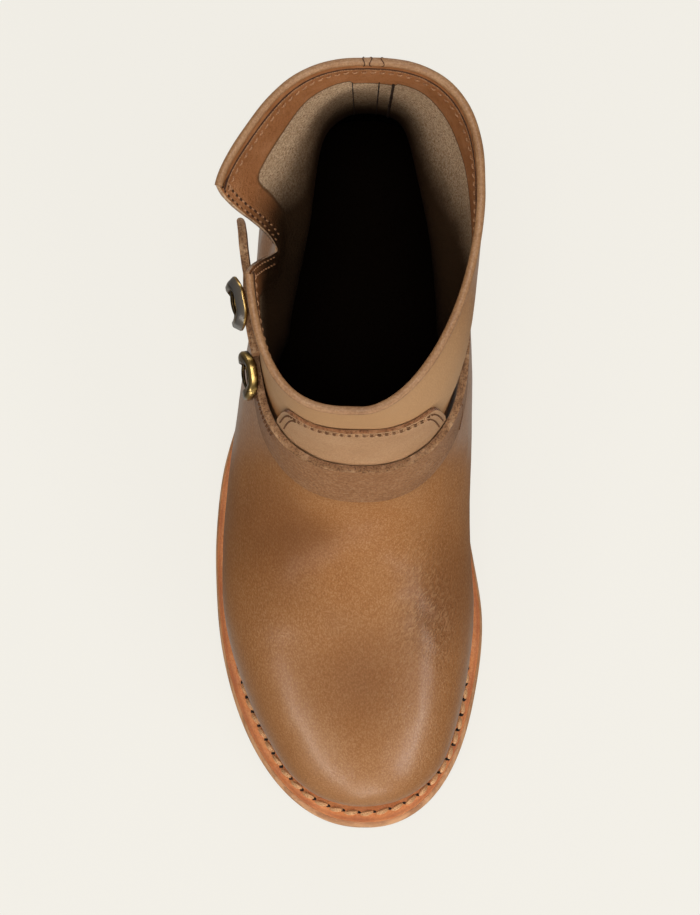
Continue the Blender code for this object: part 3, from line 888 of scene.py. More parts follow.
class Mould:
    """Collects the points, faces and attributes of one mesh, in millimetres."""

    def __init__(self) -> None:
        """Start empty."""
        self.points: list[Array] = []
        self.faces: list[tuple[int, ...]] = []
        self.looks: list[int] = []
        self.count = 0

    def grid(
        self,
        rings: Array,
        around: bool = True,
        along: bool = False,
        caps: bool = False,
        looks: Array | int = 0,
    ) -> None:
        """Skin successive rings of points.

        Args:
            rings: Points, an array (rings, points, 3).
            around: Close each ring on itself.
            along: Join the last ring to the first.
            caps: Close the first and the last ring with a face.
            looks: Material number, one or an array that fits (rings, points).
        """
        count, size = rings.shape[:2]
        first = self.count
        self.points.append(rings.reshape(-1, 3))
        self.count += count * size
        looks = np.broadcast_to(looks, (count, size))
        for i in range(count if along else count - 1):
            here, above = first + i * size, first + (i + 1) % count * size
            for j in range(size if around else size - 1):
                k = (j + 1) % size
                self.faces.append((here + j, here + k, above + k, above + j))
                self.looks.append(int(looks[i, j]))
        if caps:
            self.faces.append(tuple(range(first + size - 1, first - 1, -1)))
            self.faces.append(tuple(range(first + (count - 1) * size, first + count * size)))
            self.looks += [int(looks[0, 0]), int(looks[-1, 0])]

    def tube(
        self,
        path: Array,
        radius: Array | float,
        sides: int,
        looks: int = 0,
        up: Array | None = None,
        flat: float = 1.0,
    ) -> None:
        """Sweep a round or flattened bar along a path.

        Args:
            path: Points, an array (n, 3).
            radius: Radius, one or one for each point.
            sides: Sides of the bar.
            looks: Material number.
            up: Directions of the bar's flattened side, one or one for each point.
            flat: Radius towards up as a share of the radius across it.
        """
        tangent = unit(np.gradient(path, axis=0))
        if up is None:
            up = np.where(np.abs(tangent[:, 2:]) > 0.9, (1.0, 0.0, 0.0), (0.0, 0.0, 1.0))
        across = unit(np.cross(tangent, np.broadcast_to(up, path.shape)))
        rise = np.cross(across, tangent)
        turn = (np.arange(sides) * 2 * math.pi / sides)[None, :, None]
        radius = np.broadcast_to(radius, (len(path),))[:, None, None]
        circle = across[:, None] * np.cos(turn) + flat * rise[:, None] * np.sin(turn)
        self.grid(path[:, None] + radius * circle, caps=True, looks=looks)

    def bead(self, start: Array, end: Array, normal: Array, radius: float, looks: int = 0) -> None:
        """One stitch: a short thread that dips into the leather at both ends.

        Args:
            start: Where the thread comes out.
            end: Where it goes in.
            normal: Outward normal of the leather.
            radius: Radius of the thread.
            looks: Material number.
        """
        share = np.linspace(0.0, 1.0, 6)[:, None]
        rise = np.sin(math.pi * share) * (1 + STITCH_SAG) - STITCH_SAG
        path = start + (end - start) * share + normal * radius * rise
        girth = radius * np.array([0.55, 0.9, 1.0, 1.0, 0.9, 0.55])
        self.tube(path, girth, 6, looks=looks, up=normal)

    def hole(
        self, centre: Array, normal: Array, radius: float, along: Array, long: float, looks: int = 0
    ) -> None:
        """One needle hole: a small dark dish laid on the leather.

        Args:
            centre: Middle of the hole.
            normal: Outward normal of the leather.
            radius: Radius across the seam.
            along: Direction of the seam.
            long: Length along the seam as a share of the radius.
            looks: Material number.
        """
        along = unit(along - normal * (along @ normal))
        across = np.cross(normal, along)
        turn = np.arange(8) * math.pi / 4
        rim = np.cos(turn)[:, None] * along * long + np.sin(turn)[:, None] * across
        dish = ((1.0, -0.05), (0.8, 0.06))
        rings = [centre + radius * size * rim + normal * lift for size, lift in dish]
        self.grid(np.stack(rings), caps=True, looks=looks)

    def form(self, name: str, finishes: Sequence[Material], sharp: float = 38.0) -> Object:
        """Make the object, smooth but for edges sharper than an angle.

        Args:
            name: Name of the object.
            finishes: Materials by number.
            sharp: Angle in degrees above which an edge stays sharp.

        Returns:
            The new object, linked to the scene.
        """
        mesh = bpy.data.meshes.new(name)
        mesh.from_pydata(np.concatenate(self.points) * MM, [], self.faces)
        mesh.polygons.foreach_set("material_index", np.array(self.looks, dtype=np.int32))
        for finish in finishes:
            mesh.materials.append(finish)
        work = bmesh.new()
        work.from_mesh(mesh)
        bmesh.ops.recalc_face_normals(work, faces=work.faces)
        work.to_mesh(mesh)
        work.free()
        mesh.shade_smooth()
        mesh.set_sharp_from_angle(angle=math.radians(sharp))
        obj = bpy.data.objects.new(name, mesh)
        bpy.context.scene.collection.objects.link(obj)
        return obj


def paint(obj: Object, name: str, values: Array) -> None:
    """Store one value at each point of a mesh, for its material to read."""
    attribute = obj.data.attributes.new(name, "FLOAT", "POINT")
    attribute.data.foreach_set("value", np.asarray(values, dtype=np.float32))


def points_of(obj: Object) -> Array:
    """Points of a mesh object in millimetres, an array (n, 3)."""
    flat = np.empty(len(obj.data.vertices) * 3)
    obj.data.vertices.foreach_get("co", flat)
    return flat.reshape(-1, 3) / MM


def seat(obj: Object, slot: Slot, *nodes: str) -> None:
    """Hand a piece to the frame.

    Args:
        obj: The piece.
        slot: Material slot of the record; not used.
        nodes: CAD nodes that it stands for.
    """
    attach(obj, BODY)
    if nodes:
        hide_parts(*nodes)
    LOG.info("%s: %d points", obj.name, len(obj.data.vertices))


def spaced(path: Array, pitch: float) -> tuple[Array, Array]:
    """Places at an even pitch along a path.

    Args:
        path: Points, an array (n, 3).
        pitch: Distance between places.

    Returns:
        The places and the path's direction at each.
    """
    steps = np.linalg.norm(np.diff(path, axis=0), axis=1)
    run = np.concatenate([[0.0], np.cumsum(steps)])
    at = np.linspace(0.0, run[-1], max(int(round(run[-1] / pitch)), 1) + 1)
    places = np.stack([np.interp(at, run, path[:, axis]) for axis in range(3)], axis=-1)
    return places, unit(np.gradient(places, axis=0))


class Crease(NamedTuple):
    """Soft ridge (positive) or trough of the vamp between two places in plan."""

    x0: float
    y0: float
    x1: float
    y1: float
    reach: float
    height: float


class Girdle(NamedTuple):
    """Soft ridge (positive) or trough round the shaft between two bearings and heights."""

    bearing0: float
    z0: float
    bearing1: float
    z1: float
    reach: float
    height: float


class Spot(NamedTuple):
    """Lighter (positive) or darker place of the leather, a soft ellipse in plan."""

    x: float
    y: float
    reach_x: float
    reach_y: float
    amount: float


@dataclass(frozen=True)
class Notch:
    """V notch in the lateral side of the collar, drawn on the plane of Y and Z."""

    last: Last
    front: float = 109.6
    back: float = 137.2
    bottom_y: float = 119.5
    bottom_z: float = 130.0
    rounding: float = 0.8
    reach: float = 1.6
    cut_x: Span = (-80.0, -8.0)
    far: float = 1e3

    def outline(self) -> list[Span]:
        """Corners of the wedge that is cut away, in Y and Z.

        Returns:
            The corners, from the front top round the bottom to the back top.
        """
        front = self.bottom_y + (self.front - self.bottom_y) * self.reach
        back = self.bottom_y + (self.back - self.bottom_y) * self.reach
        high = self.bottom_z + (self.last.collar_z - self.bottom_z) * self.reach
        shoulder = self.bottom_z + self.rounding
        bottom = [(self.bottom_y, self.bottom_z), (self.bottom_y + self.rounding, shoulder)]
        return [(front, high), (self.bottom_y - self.rounding, shoulder), *bottom, (back, high)]

    def side(self, corner: float) -> tuple[Array, Array]:
        """Bottom of the notch, and the way from there up one edge to the collar."""
        foot = np.array((self.bottom_y, self.bottom_z))
        return foot, np.array((corner, self.last.collar_z)) - foot

    def distance(self, points: Array) -> Array:
        """Distance in Y and Z from the notch's two edges.

        Args:
            points: Places, an array (..., 3).

        Returns:
            The distance at each place, large on the inner side of the foot.
        """
        flat = points.reshape(-1, 3)
        place = flat[:, 1:]
        nearest = np.full(len(flat), self.far)
        for corner in (self.front, self.back):
            foot, run = self.side(corner)
            share = np.clip((place - foot) @ run / (run @ run), 0, 1)
            nearest = np.minimum(nearest, np.linalg.norm(place - foot - share[:, None] * run, axis=1))
        return np.where(flat[:, 0] < 0, nearest, self.far).reshape(points.shape[:-1])

    def edge(self, corner: float, inward: float, away: float) -> Array:
        """Line in Y and Z beside one edge of the notch.

        Args:
            corner: Y of the edge's upper end, front or back.
            inward: Distance kept from the collar and from the notch's bottom.
            away: Distance of the line from the edge.

        Returns:
            Points, an array (n, 2).
        """
        foot, run = self.side(corner)
        length = np.linalg.norm(run)
        normal = np.array((run[1], -run[0])) / length * math.copysign(1.0, corner - self.bottom_y)
        share = np.linspace(inward / length, 1 - inward / length, 40)[:, None]
        return foot + run * share + normal * away


@dataclass(frozen=True)
class Upper:
    """Vamp and shaft in one hollow wall, with its creases, lining and notch."""

    last: Last
    notch: Notch
    wall: float = 2.2
    rings: int = 108
    around: int = 216
    lining_rings: int = 56
    skive: float = 1.1
    skive_reach: Span = (6.0, 0.5)
    facing: float = 17.0
    facing_back: float = 14.5
    facing_notch: float = 11.0
    facing_back_y: Span = (150.0, 172.0)
    strip: Span = (0.5, 15.0)
    strip_soft: float = 0.5
    strip_drop: float = 2.2
    felt_waver: Wave = Wave(0.5, 21.0, 3.1)
    # Painted light on the front of the collar, above the panel, where less light falls.
    lit_band: float = 0.7
    # Painted shade: the lining's depth is made larger towards the front, so that it darkens higher up
    # there.
    front_shade: float = 20.0
    toe_fill: float = 1.2
    toe_fill_y: Span = (-44.0, -76.0)
    padding: Span = (8.0, 6.0)
    padding_top: Span = (150.0, 112.0)
    padding_foot: Span = (48.0, 70.0)
    padding_side: Span = (12.0, 30.0)
    padding_back: Span = (72.0, 95.0)
    padding_notch: Span = (8.0, 22.0)
    matte_vamp: Span = (-26.0, 18.0)
    matte_instep: Span = (62.0, 40.0)
    matte_shaft: Span = (80.0, 95.0)
    matte_back: Span = (120.0, 90.0)
    front_shade_y: Span = (155.0, 106.0)
    lit_band_z: Span = (116.0, 134.0)
    lit_band_y: Span = (124.0, 74.0)
    spot_top: Span = (95.0, 75.0)
    feather_flat: Span = (1.0, 9.0)
    collar_flat: float = 12.0
    waves: tuple[Wave, ...] = (Wave(0.16, 34.0, 1.7), Wave(0.07, 13.0, 4.2))
    crease_tilt: Span = (0.1, 0.6)
    crease_top: Span = (105.0, 80.0)
    crease_bow: float = 0.08
    girdle_y: Span = (60.0, 85.0)
    creases: tuple[Crease, ...] = (
        Crease(-27, 2, 25, 14, 7.0, -0.22),
        Crease(-30, -9, -6, -13, 7.0, 0.45),
        Crease(4, 9, 16, 5, 6.5, 0.25),
        Crease(20, -1, 36, -14, 3.0, -0.25),
        Crease(18, -6, 33, -20, 2.4, 0.22),
        Crease(22, -13, 36, -26, 2.4, -0.2),
        Crease(-34, 22, -12, 27, 6.0, -0.4),
        Crease(10, 28, 34, 22, 6.0, -0.4),
        Crease(-8, 24, 12, 23, 7.0, 0.2),
        Crease(-6, -34, 18, -30, 16.0, -0.4),
    )
    girdles: tuple[Girdle, ...] = (
        Girdle(-110, 92, -62, 80, 6.0, -1.3),
        Girdle(-118, 80, -76, 70, 7.0, 0.9),
        Girdle(-150, 100, -100, 106, 6.0, -1.1),
        Girdle(62, 82, 112, 94, 6.0, -1.3),
        Girdle(74, 70, 120, 80, 7.0, 0.9),
        Girdle(104, 108, 152, 100, 6.0, -1.1),
        Girdle(152, 96, 208, 96, 5.0, -1.0),
        Girdle(150, 86, 210, 86, 5.0, 0.8),
        Girdle(-128, 122, -96, 132, 6.0, -0.7),
        Girdle(96, 130, 132, 120, 6.0, -0.7),
    )
    # Painted highlights (positive) and painted shade (negative) on the vamp, where the lights fall brighter
    # or dimmer: lit crease lumps, the dimmer middle of the toe and the shaded sides of the instep.
    spots: tuple[Spot, ...] = (
        Spot(5, -33, 25, 26, -0.48),
        Spot(7, 8, 18, 16, 0.35),
        Spot(-16, -12, 9, 8, 0.3),
        Spot(34, 3, 15, 26, -0.62),
        Spot(-27, 23, 27, 29, -0.62),
        Spot(-8, 22, 14, 7, -0.2),
    )
    wrinkles: tuple[Spot, ...] = (
        Spot(28, -8, 11, 16, 1.0),
        Spot(24, 12, 12, 14, 0.4),
    )

    def relief(self, points: Array, normals: Array) -> Array:
        """Height of the creases over the skin.

        Args:
            points: Places on the skin, an array (..., 3).
            normals: Outward normals there.

        Returns:
            The height at each place, in millimetres.
        """
        x, y, z = np.moveaxis(points, -1, 0)
        total = np.zeros(x.shape)
        facing_up = ease(normals[..., 2], *self.crease_tilt) * ease(z, *self.crease_top)
        for row in self.creases:
            run_x, run_y = row.x1 - row.x0, row.y1 - row.y0
            share = ((x - row.x0) * run_x + (y - row.y0) * run_y) / (run_x**2 + run_y**2)
            held = np.clip(share, 0, 1)
            bow = self.crease_bow * np.hypot(run_x, run_y) * np.sin(math.pi * held)
            away = np.hypot(x - row.x0 - held * run_x, y - row.y0 - held * run_y - bow)
            total += row.height * bell(away, row.reach) * facing_up
        centre_x, centre_y = self.last.shaft_centre
        bearing = np.degrees(np.arctan2(x - centre_x, centre_y - y))
        radius = np.hypot(x - centre_x, y - centre_y)
        for row in self.girdles:
            middle, half = (row.bearing0 + row.bearing1) / 2, (row.bearing1 - row.bearing0) / 2
            turn = (bearing - middle + 180) % 360 - 180
            level = (row.z0 + row.z1) / 2 + (row.z1 - row.z0) / 2 * np.clip(turn / half, -1, 1)
            beyond = np.maximum(np.abs(turn) - half, 0) * np.pi / 180 * radius
            ridge = row.height * bell(np.hypot(z - level, beyond), row.reach)
            total += ridge * ease(y, *self.girdle_y)
        total += sum(wave.at(points) for wave in self.waves)
        total += self.toe_fill * ease(y, *self.toe_fill_y) * ease(normals[..., 2], 1.0, 0.0)
        top = self.last.collar_z
        above = z - self.last.feather(y)
        return total * ease(above, *self.feather_flat) * ease(z, top, top - self.collar_flat)

    def pad(self, points: Array) -> Array:
        """Thickness of the padding under the felt at both sides of the ankle.

        Args:
            points: Places on the skin, an array (..., 3).

        Returns:
            The thickness at each place.
        """
        x, y, z = np.moveaxis(points, -1, 0)
        off = x - self.last.shaft_centre[0]
        most = np.where(off < 0, *self.padding)
        beside = self.notch.distance(points)
        level = ease(z, *self.padding_top) * ease(z, *self.padding_foot)
        plan = ease(np.abs(off), *self.padding_side) * ease(y, *self.padding_back)
        return most * level * plan * ease(beside, *self.padding_notch)

    def thickness(self, points: Array) -> Array:
        """Thickness of the wall at places on the skin, pared towards the notch."""
        beside = self.notch.distance(points)
        return self.wall - self.skive * ease(beside, *self.skive_reach)

    def shell(self) -> Mould:
        """Closed wall, outer skin first, then rim, lining and lower edge."""
        outer = self.last.rings(self.rings, self.around)
        normals = self.last.normal(outer)
        outer = outer + normals * self.relief(outer, normals)[..., None]
        inner = self.last.rings(self.lining_rings, self.around)
        depth = self.thickness(inner) + self.pad(inner)
        inner = inner - self.last.normal(inner) * depth[..., None]
        inner[-1, :, 2] = self.last.collar_z
        looks = np.concatenate([np.zeros(self.rings - 1), [2], np.ones(self.lining_rings - 1), [2]])
        mould = Mould()
        mould.grid(np.concatenate([outer, inner[::-1]]), along=True, looks=looks[:, None])
        return mould

    def cutter(self) -> Object:
        """Wedge that cuts the notch."""
        outline = self.notch.outline()
        sides = np.array([[(x, y, z) for y, z in outline] for x in self.notch.cut_x])
        mould = Mould()
        mould.grid(sides, caps=True, looks=2)
        plain = bpy.data.materials.new("cutter")
        return mould.form("notch_cutter", (plain, plain, plain))

    def build(self, leather: Leather, lining: Lining, raw: RawEdge) -> None:
        """Build the wall, cut the notch and paint the leather and the lining.

        Args:
            leather: Finish of the outer skin.
            lining: Finish of the inside.
            raw: Finish of the cut edges.
        """
        upper = self.shell().form("upper_leather", (leather.build(), lining.build(), raw.build()), 50.0)
        cutter = self.cutter()
        cut = upper.modifiers.new("notch", "BOOLEAN")
        cut.operation = "DIFFERENCE"
        cut.solver = "EXACT"
        cut.object = cutter
        bpy.context.view_layer.objects.active = upper
        bpy.ops.object.modifier_apply(modifier=cut.name)
        bpy.data.objects.remove(cutter)
        self.paint(upper)
        seat(upper, Slot.UPPER, "upper")

    def spotted(self, points: Array, spots: Sequence[Spot]) -> Array:
        """Sum of soft spots on the vamp.

        Args:
            points: Places on the skin, an array (n, 3).
            spots: Places, reaches and amounts of the spots.

        Returns:
            The sum at each place.
        """
        x, y, z = points.T
        total = np.zeros(len(points))
        for spot in spots:
            away = np.hypot((x - spot.x) / spot.reach_x, (y - spot.y) / spot.reach_y)
            total += spot.amount * bell(away, 1.0) * ease(z, *self.spot_top)
        return total

    def paint(self, upper: Object) -> None:
        """Paint the leather's painted highlights and painted shade, dull and wrinkled places, depth below
        the collar, which sets the lining's painted shade, and the felt's edge.
        """
        points = points_of(upper)
        x, y, z = points.T
        # Painted highlights and painted shade from the spots.
        shade = self.spotted(points, self.spots)
        # Painted light on the front of the collar.
        shade += self.lit_band * ease(z, *self.lit_band_z) * ease(y, *self.lit_band_y)
        depth = self.last.collar_z - z
        back = ease(y, *self.facing_back_y)
        edge = self.facing + (self.facing_back - self.facing) * back
        start, end = self.strip
        soft = self.strip_soft
        edge = edge + self.strip_drop * back * ease(x, start - soft, start) * ease(x, end + soft, end)
        beside = self.notch.distance(points) - self.facing_notch
        felt = np.minimum(depth - edge, beside) + self.felt_waver.at(points)
        vamp = ease(y, *self.matte_vamp) * ease(y, *self.matte_instep)
        shaft = ease(z, *self.matte_shaft) * ease(y, *self.matte_back)
        paint(upper, "matte", np.maximum(vamp, shaft))
        paint(upper, "wrinkle", self.spotted(points, self.wrinkles))
        paint(upper, "shade", shade)
        # Depth sets the lining's painted shade, larger towards the front so that the painted shade starts
        # higher there.
        paint(upper, "depth", depth + self.front_shade * ease(y, *self.front_shade_y))
        paint(upper, "felt", felt)

    def lateral(self, line: Array, inside: bool) -> Array:
        """Points of the lateral wall over a line in Y and Z.

        Args:
            line: Line in Y and Z, an array (n, 2).
            inside: Take the lining in place of the outer skin.

        Returns:
            The points.
        """
        start = np.column_stack([np.zeros(len(line)), line])
        points = self.last.cast(start, np.array((-1.0, 0.0, 0.0)))
        if not inside:
            return points
        return points - self.last.normal(points) * self.thickness(points)[:, None]


class WeltRow(NamedTuple):
    """Insets of the welt's outer and inner edges from the sole's outline."""

    y: float
    outer: float
    inner: float


@dataclass(frozen=True)
class Sole:
    """Outsole, welt with its stitches, insole and stacked heel."""

    last: Last
    stations: int = 120
    edge_round: float = 1.5
    heel_taper: float = 0.93
    heel_centre: float = 146.0
    heel_inset: float = 0.6
    lifts: int = 5
    groove: float = 0.3
    top_piece: float = 6.0
    insole_margin: float = 2.3
    insole_points: int = 260
    insole_round: float = 0.8
    stitch_pitch: float = 5.9
    stitch_line: tuple[Span, ...] = ((-79, 6.2), (-70, 4.0), (-55, 2.6), (-35, 1.2), (-15, -0.6))
    stitch_radius: float = 1.0
    hole_radius: float = 0.88
    stitch_end: float = 60.0
    stitch_lean: float = 0.45
    stitch_gap: float = 0.7
    hole_slant: Span = (0.8, 0.6)
    hole_shift: float = 0.1
    hole_long: float = 1.35
    groove_half: float = 0.35
    heel_foot: tuple[Span, ...] = ((0.0, 0.7), (0.6, 0.0))
    heel_bevel: float = 0.3
    burnish: float = -0.75
    burnish_inset: float = 0.8
    burnish_reach: float = 0.7
    welt_mottle: Wave = Wave(0.2, 18.0, 2.2)
    welt_foot: tuple[Span, ...] = ((0.4, 0.0), (0.0, 0.5))
    welt_shoulder: tuple[Span, ...] = ((0.0, -0.9), (0.3, -0.3), (1.0, 0.0), (2.4, 0.0))
    welt: tuple[WeltRow, ...] = (
        WeltRow(-90, 2.6, 26.0),
        WeltRow(-50, 1.6, 18.0),
        WeltRow(0, 0.8, 13.5),
        WeltRow(70, 0.8, 12.0),
        WeltRow(140, 0.8, 10.0),
        WeltRow(180, 0.8, 10.0),
    )

    def layer(
        self, ring: Array, low: Callable[[Array], Array], high: Callable[[Array], Array], rounding: float
    ) -> Mould:
        """Layer of the sole between two heights, with rounded edges.

        Args:
            ring: Plan outline, an array (n, 2).
            low: Height of the lower face at places along Y.
            high: Height of the upper face at places along Y.
            rounding: Radius of the edges.

        Returns:
            The layer's mesh.
        """
        loops = []
        for turn in np.radians(np.linspace(-90, 90, 9)):
            plan = inset(ring, rounding * (1 - math.cos(turn)))
            rise = rounding * (1 - abs(math.sin(turn)))
            level = low(plan[:, 1]) + rise if turn < 0 else high(plan[:, 1]) - rise
            loops.append(np.column_stack([plan, level]))
        mould = Mould()
        mould.grid(np.array(loops))
        half = len(ring) // 2
        share = np.linspace(0.0, 1.0, 13)[None, :, None]
        for loop, height in ((loops[0], low), (loops[-1], high)):
            medial, lateral = loop[:half, None, :2], loop[half:, None, :2][::-1]
            plan = medial + (lateral - medial) * share
            mould.grid(np.concatenate([plan, height(plan[..., 1])[..., None]], axis=-1), around=False)
        return mould

    def insole_low(self, y: Array) -> Array:
        """Height of the insole's lower face."""
        return self.last.feather(y) + GAP

    def insole_high(self, y: Array) -> Array:
        """Height of the insole's upper face."""
        return self.insole_low(y) + self.last.insole_thick

    def build_outsole(self, edge: Stacked) -> None:
        """Outsole with toe spring and arch."""
        last = self.last
        ring = last.sole_ring(self.stations)
        mould = self.layer(ring, last.sole_bottom, last.outsole_top, self.edge_round)
        seat(mould.form("outsole_leather", (edge.build(),)), Slot.OUTSOLE, "outsole")

    def build_insole(self, leather: Leather) -> None:
        """Insole under the foot, near black: painted shade deep inside the boot."""
        feather = self.last.rings(2, self.insole_points)[0]
        ring = inset(feather[:, :2], self.insole_margin)
        board = np.delete(ring[1:], len(ring) // 2 - 1, axis=0)
        mould = self.layer(board, self.insole_low, self.insole_high, self.insole_round)
        insole = mould.form("insole_leather_shaded", (leather.build(),))
        seat(insole, Slot.INSOLE, "insole")

    def build_welt(self, leather: Leather) -> None:
        """Welt between outsole and upper, its outer edge rounded and burnished dark."""
        ring = self.last.sole_ring(self.stations)
        outer = smooth(self.welt, "outer", ring[:, 1])
        inner = smooth(self.welt, "inner", ring[:, 1])
        base = GAP
        top = GAP + self.last.welt_thick
        profile = [(outer + inward, base + rise) for inward, rise in self.welt_foot]
        profile += [(outer + inward, top + rise) for inward, rise in self.welt_shoulder]
        profile += [(inner, top), (inner, base)]
        loops = []
        for distance, height in profile:
            plan = inset(ring, distance)
            loops.append(np.column_stack([plan, self.last.outsole_top(plan[:, 1]) + height]))
        mould = Mould()
        mould.grid(np.array(loops), along=True)
        welt = mould.form("welt_leather", (leather.build(),), 30.0)
        points = points_of(welt)
        near_edge = inset(ring, outer + self.burnish_inset)
        away = np.array([np.hypot(*(near_edge - point[:2]).T).min() for point in points])
        burnish = self.burnish * bell(away, self.burnish_reach)
        paint(welt, "shade", burnish + self.welt_mottle.at(points))
        seat(welt, Slot.WELT, "welt")

    def build_stitches(self, thread: Thread, hole: Thread) -> None:
        """Thick welt stitches beside the upper, with a dark awl hole at each end.

        Args:
            thread: Finish of the thread.
            hole: Finish of the awl holes.
        """
        line = self.last.girth_line(self.stitch_end, 160)
        line = inset(line, -np.interp(line[:, 1], *np.array(self.stitch_line).T))[2:-2]
        height = self.last.outsole_top(line[:, 1]) + GAP + self.last.welt_thick
        places, along = spaced(np.column_stack([line, height]), self.stitch_pitch)
        upward = np.array((0.0, 0.0, 1.0))
        across = np.cross(along, upward)
        mould = Mould()
        for i in range(len(places) - 1):
            start = places[i] + across[i] * self.stitch_lean + along[i] * self.stitch_gap
            end = places[i + 1] - across[i + 1] * self.stitch_lean - along[i + 1] * self.stitch_gap
            mould.bead(start, end, upward, self.stitch_radius)
            slant = along[i] * self.hole_slant[0] + across[i] * self.hole_slant[1]
            middle = places[i] + across[i] * self.hole_shift
            mould.hole(middle, upward, self.hole_radius, slant, self.hole_long, looks=1)
        stitches = mould.form("welt_stitches", (thread.build(), hole.build()))
        seat(stitches, Slot.WELT)

    def build_heel(self, stack: Stacked, rubber: Leather) -> None:
        """Stacked heel with a dark top piece under its lifts.

        Args:
            stack: Finish of the lifts.
            rubber: Finish of the top piece.
        """
        ring = inset(self.last.sole_ring(self.stations), self.heel_inset)
        ring = ring[ring[:, 1] > self.last.heel_breast]
        share = np.linspace(0.0, 1.0, 16)[1:-1, None]
        ring = np.concatenate([ring, ring[-1] + (ring[0] - ring[-1]) * share])
        centre = np.array((self.last.sole[-1].axis, self.heel_centre))
        top = self.last.heel_height - GAP
        lift = (top - self.top_piece) / self.lifts
        seams = [self.top_piece + lift * k for k in range(self.lifts)]
        profile = list(self.heel_foot)
        half = self.groove_half
        for seam in seams:
            profile += [(seam - half, 0.0), (seam, self.groove), (seam + half, 0.0)]
        profile += [(top - self.heel_bevel, 0.0), (top, self.heel_bevel)]
        loops = []
        for z, depth in profile:
            size = self.heel_taper + (1 - self.heel_taper) * z / top
            plan = inset((ring - centre) * size + centre, depth)
            loops.append(np.column_stack([plan, np.full(len(plan), z)]))
        looks = np.array([1 if z < self.top_piece else 0 for z, _ in profile])
        mould = Mould()
        mould.grid(np.array(loops), caps=True, looks=looks[:, None])
        heel = mould.form("stacked_heel", (stack.build(), rubber.build()), 30.0)
        paint(heel, "shade", np.zeros(len(heel.data.vertices)))
        seat(heel, Slot.HEEL, "heel")


@dataclass(frozen=True)
class Collar:
    """Rolled binding on the collar's edge, with its join at the back and the seam below it."""

    last: Last
    upper: Upper
    radius: float = 1.4
    sink: float = 0.9
    start: float = -73.0
    end: float = 250.0
    count: int = 280
    join: float = 177.0
    join_lap: float = 4.5
    lap_size: float = 0.93
    girth_waver: Wave = Wave(0.05, 16.0, 0.7)
    mottle: Wave = Wave(0.2, 22.0, 1.1)
    # Painted highlight along the top of the binding's roll.
    top_highlight: float = 0.3
    top_highlight_z: Span = (168.8, 170.0)
    dim: float = 0.25
    groove_depth: float = 3.2
    groove_radius: float = 0.32
    line_drop: float = 0.8
    line_radius: float = 0.26
    line_waver: float = 0.25
    seam_depth: float = 6.4
    seam_pitch: float = 2.9
    seam_fill: float = 0.34
    seam_slant: float = 0.5
    thread_radius: float = 0.34
    wrinkle_radius: float = 0.16
    wrinkle_size: float = 1.02
    wrinkle_turn: Span = (-20.0, 190.0)
    wrinkles: tuple[Span, ...] = ((-3.4, 0.5), (0.4, -0.4), (2.6, 0.3))

    def line(self, bearing: Array) -> Array:
        """Middle line of the binding at bearings round the shaft."""
        rim = self.last.shaft_points(bearing, self.last.collar_z, 0.0)
        normal = self.last.normal(rim)
        bead = rim - normal * self.upper.wall / 2
        tilt = np.maximum(-normal[..., 2] * self.upper.wall, 0)
        bead[..., 2] = self.last.collar_z + tilt + self.radius - self.sink
        return bead

    def build_binding(self, leather: Leather) -> None:
        """Binding in two lengths that overlap at the back."""
        mould = Mould()
        lap = self.join_lap / 2
        runs = ((self.start, self.join + lap, 1.0), (self.join - lap, self.end, self.lap_size))
        for first, last, size in runs:
            bearing = np.linspace(first, last, int(self.count * (last - first) / (self.end - self.start)))
            path = self.line(bearing)
            girth = self.radius * size * (1 + self.girth_waver.at(path))
            mould.tube(path, girth, 14)
        binding = mould.form("collar_binding_roll", (leather.build(),), 50.0)
        points = points_of(binding)
        # Painted highlight along the top of the roll; the rest is dimmed a little.
        top_highlight = self.top_highlight * ease(points[:, 2], *self.top_highlight_z)
        paint(binding, "shade", self.mottle.at(points) + top_highlight - self.dim)
        seat(binding, Slot.BINDING, "collar_binding")

    def build_seam(self, thread: Thread, groove: Thread) -> None:
        """Groove, pale line and small stitches below the binding inside, and wrinkles at its join; the dark
        groove and wrinkles are painted shade, the pale line a painted highlight.

        Args:
            thread: Finish of the stitches and the line.
            groove: Dark finish of the groove and the wrinkles, painted shade.
        """
        mould = Mould()
        bearing = np.linspace(self.start - 1.5, self.end + 0.5, 500)
        # A dark tube stands for painted shade in the groove, and a pale tube below it for a painted
        # highlight.
        lines = (
            (self.groove_depth, self.groove_radius, 1),
            (self.groove_depth + self.line_drop, self.line_radius, 0),
        )
        for depth, girth, looks in lines:
            path = self.last.shaft_points(bearing, self.last.collar_z - depth, -self.upper.wall)
            waver = Wave(self.line_waver, 7.0, depth)
            mould.tube(path, girth * (1 + waver.at(path)), 6, looks=looks)
        path = self.last.shaft_points(bearing, self.last.collar_z - self.seam_depth, -self.upper.wall)
        places, along = spaced(path, self.seam_pitch)
        normals = -self.last.normal(places)
        slant = np.array((0.0, 0.0, self.seam_slant))
        for i in range(len(places) - 1):
            reach = along[i] * self.seam_pitch * self.seam_fill
            middle = (places[i] + places[i + 1]) / 2
            mould.bead(middle - reach + slant, middle + reach - slant, normals[i], self.thread_radius)
        # Dark creases at the join: painted shade in the folds.
        turn = np.radians(np.linspace(*self.wrinkle_turn, 20))
        sideways = np.array((1.0, 0.0, 0.0))
        for shift, lean in self.wrinkles:
            middle = self.line(np.array([self.join + shift]))[0]
            across = lean * np.sin(2 * turn)
            ring = np.stack([across, -self.radius * np.cos(turn), self.radius * np.sin(turn)], axis=-1)
            path = middle + ring * self.wrinkle_size
            mould.tube(path, self.wrinkle_radius, 6, looks=1, up=sideways)
        seat(mould.form("collar_stitches", (thread.build(), groove.build())), Slot.BINDING)


class StrapRow(NamedTuple):
    """Edges of the instep strap and its distance off the shaft at one bearing."""

    bearing: float
    low: float
    high: float
    lift: float


class FreePoint(NamedTuple):
    """Place in plan of the collar strap's free end, and how much its edges draw in there."""

    x: float
    y: float
    trim: float


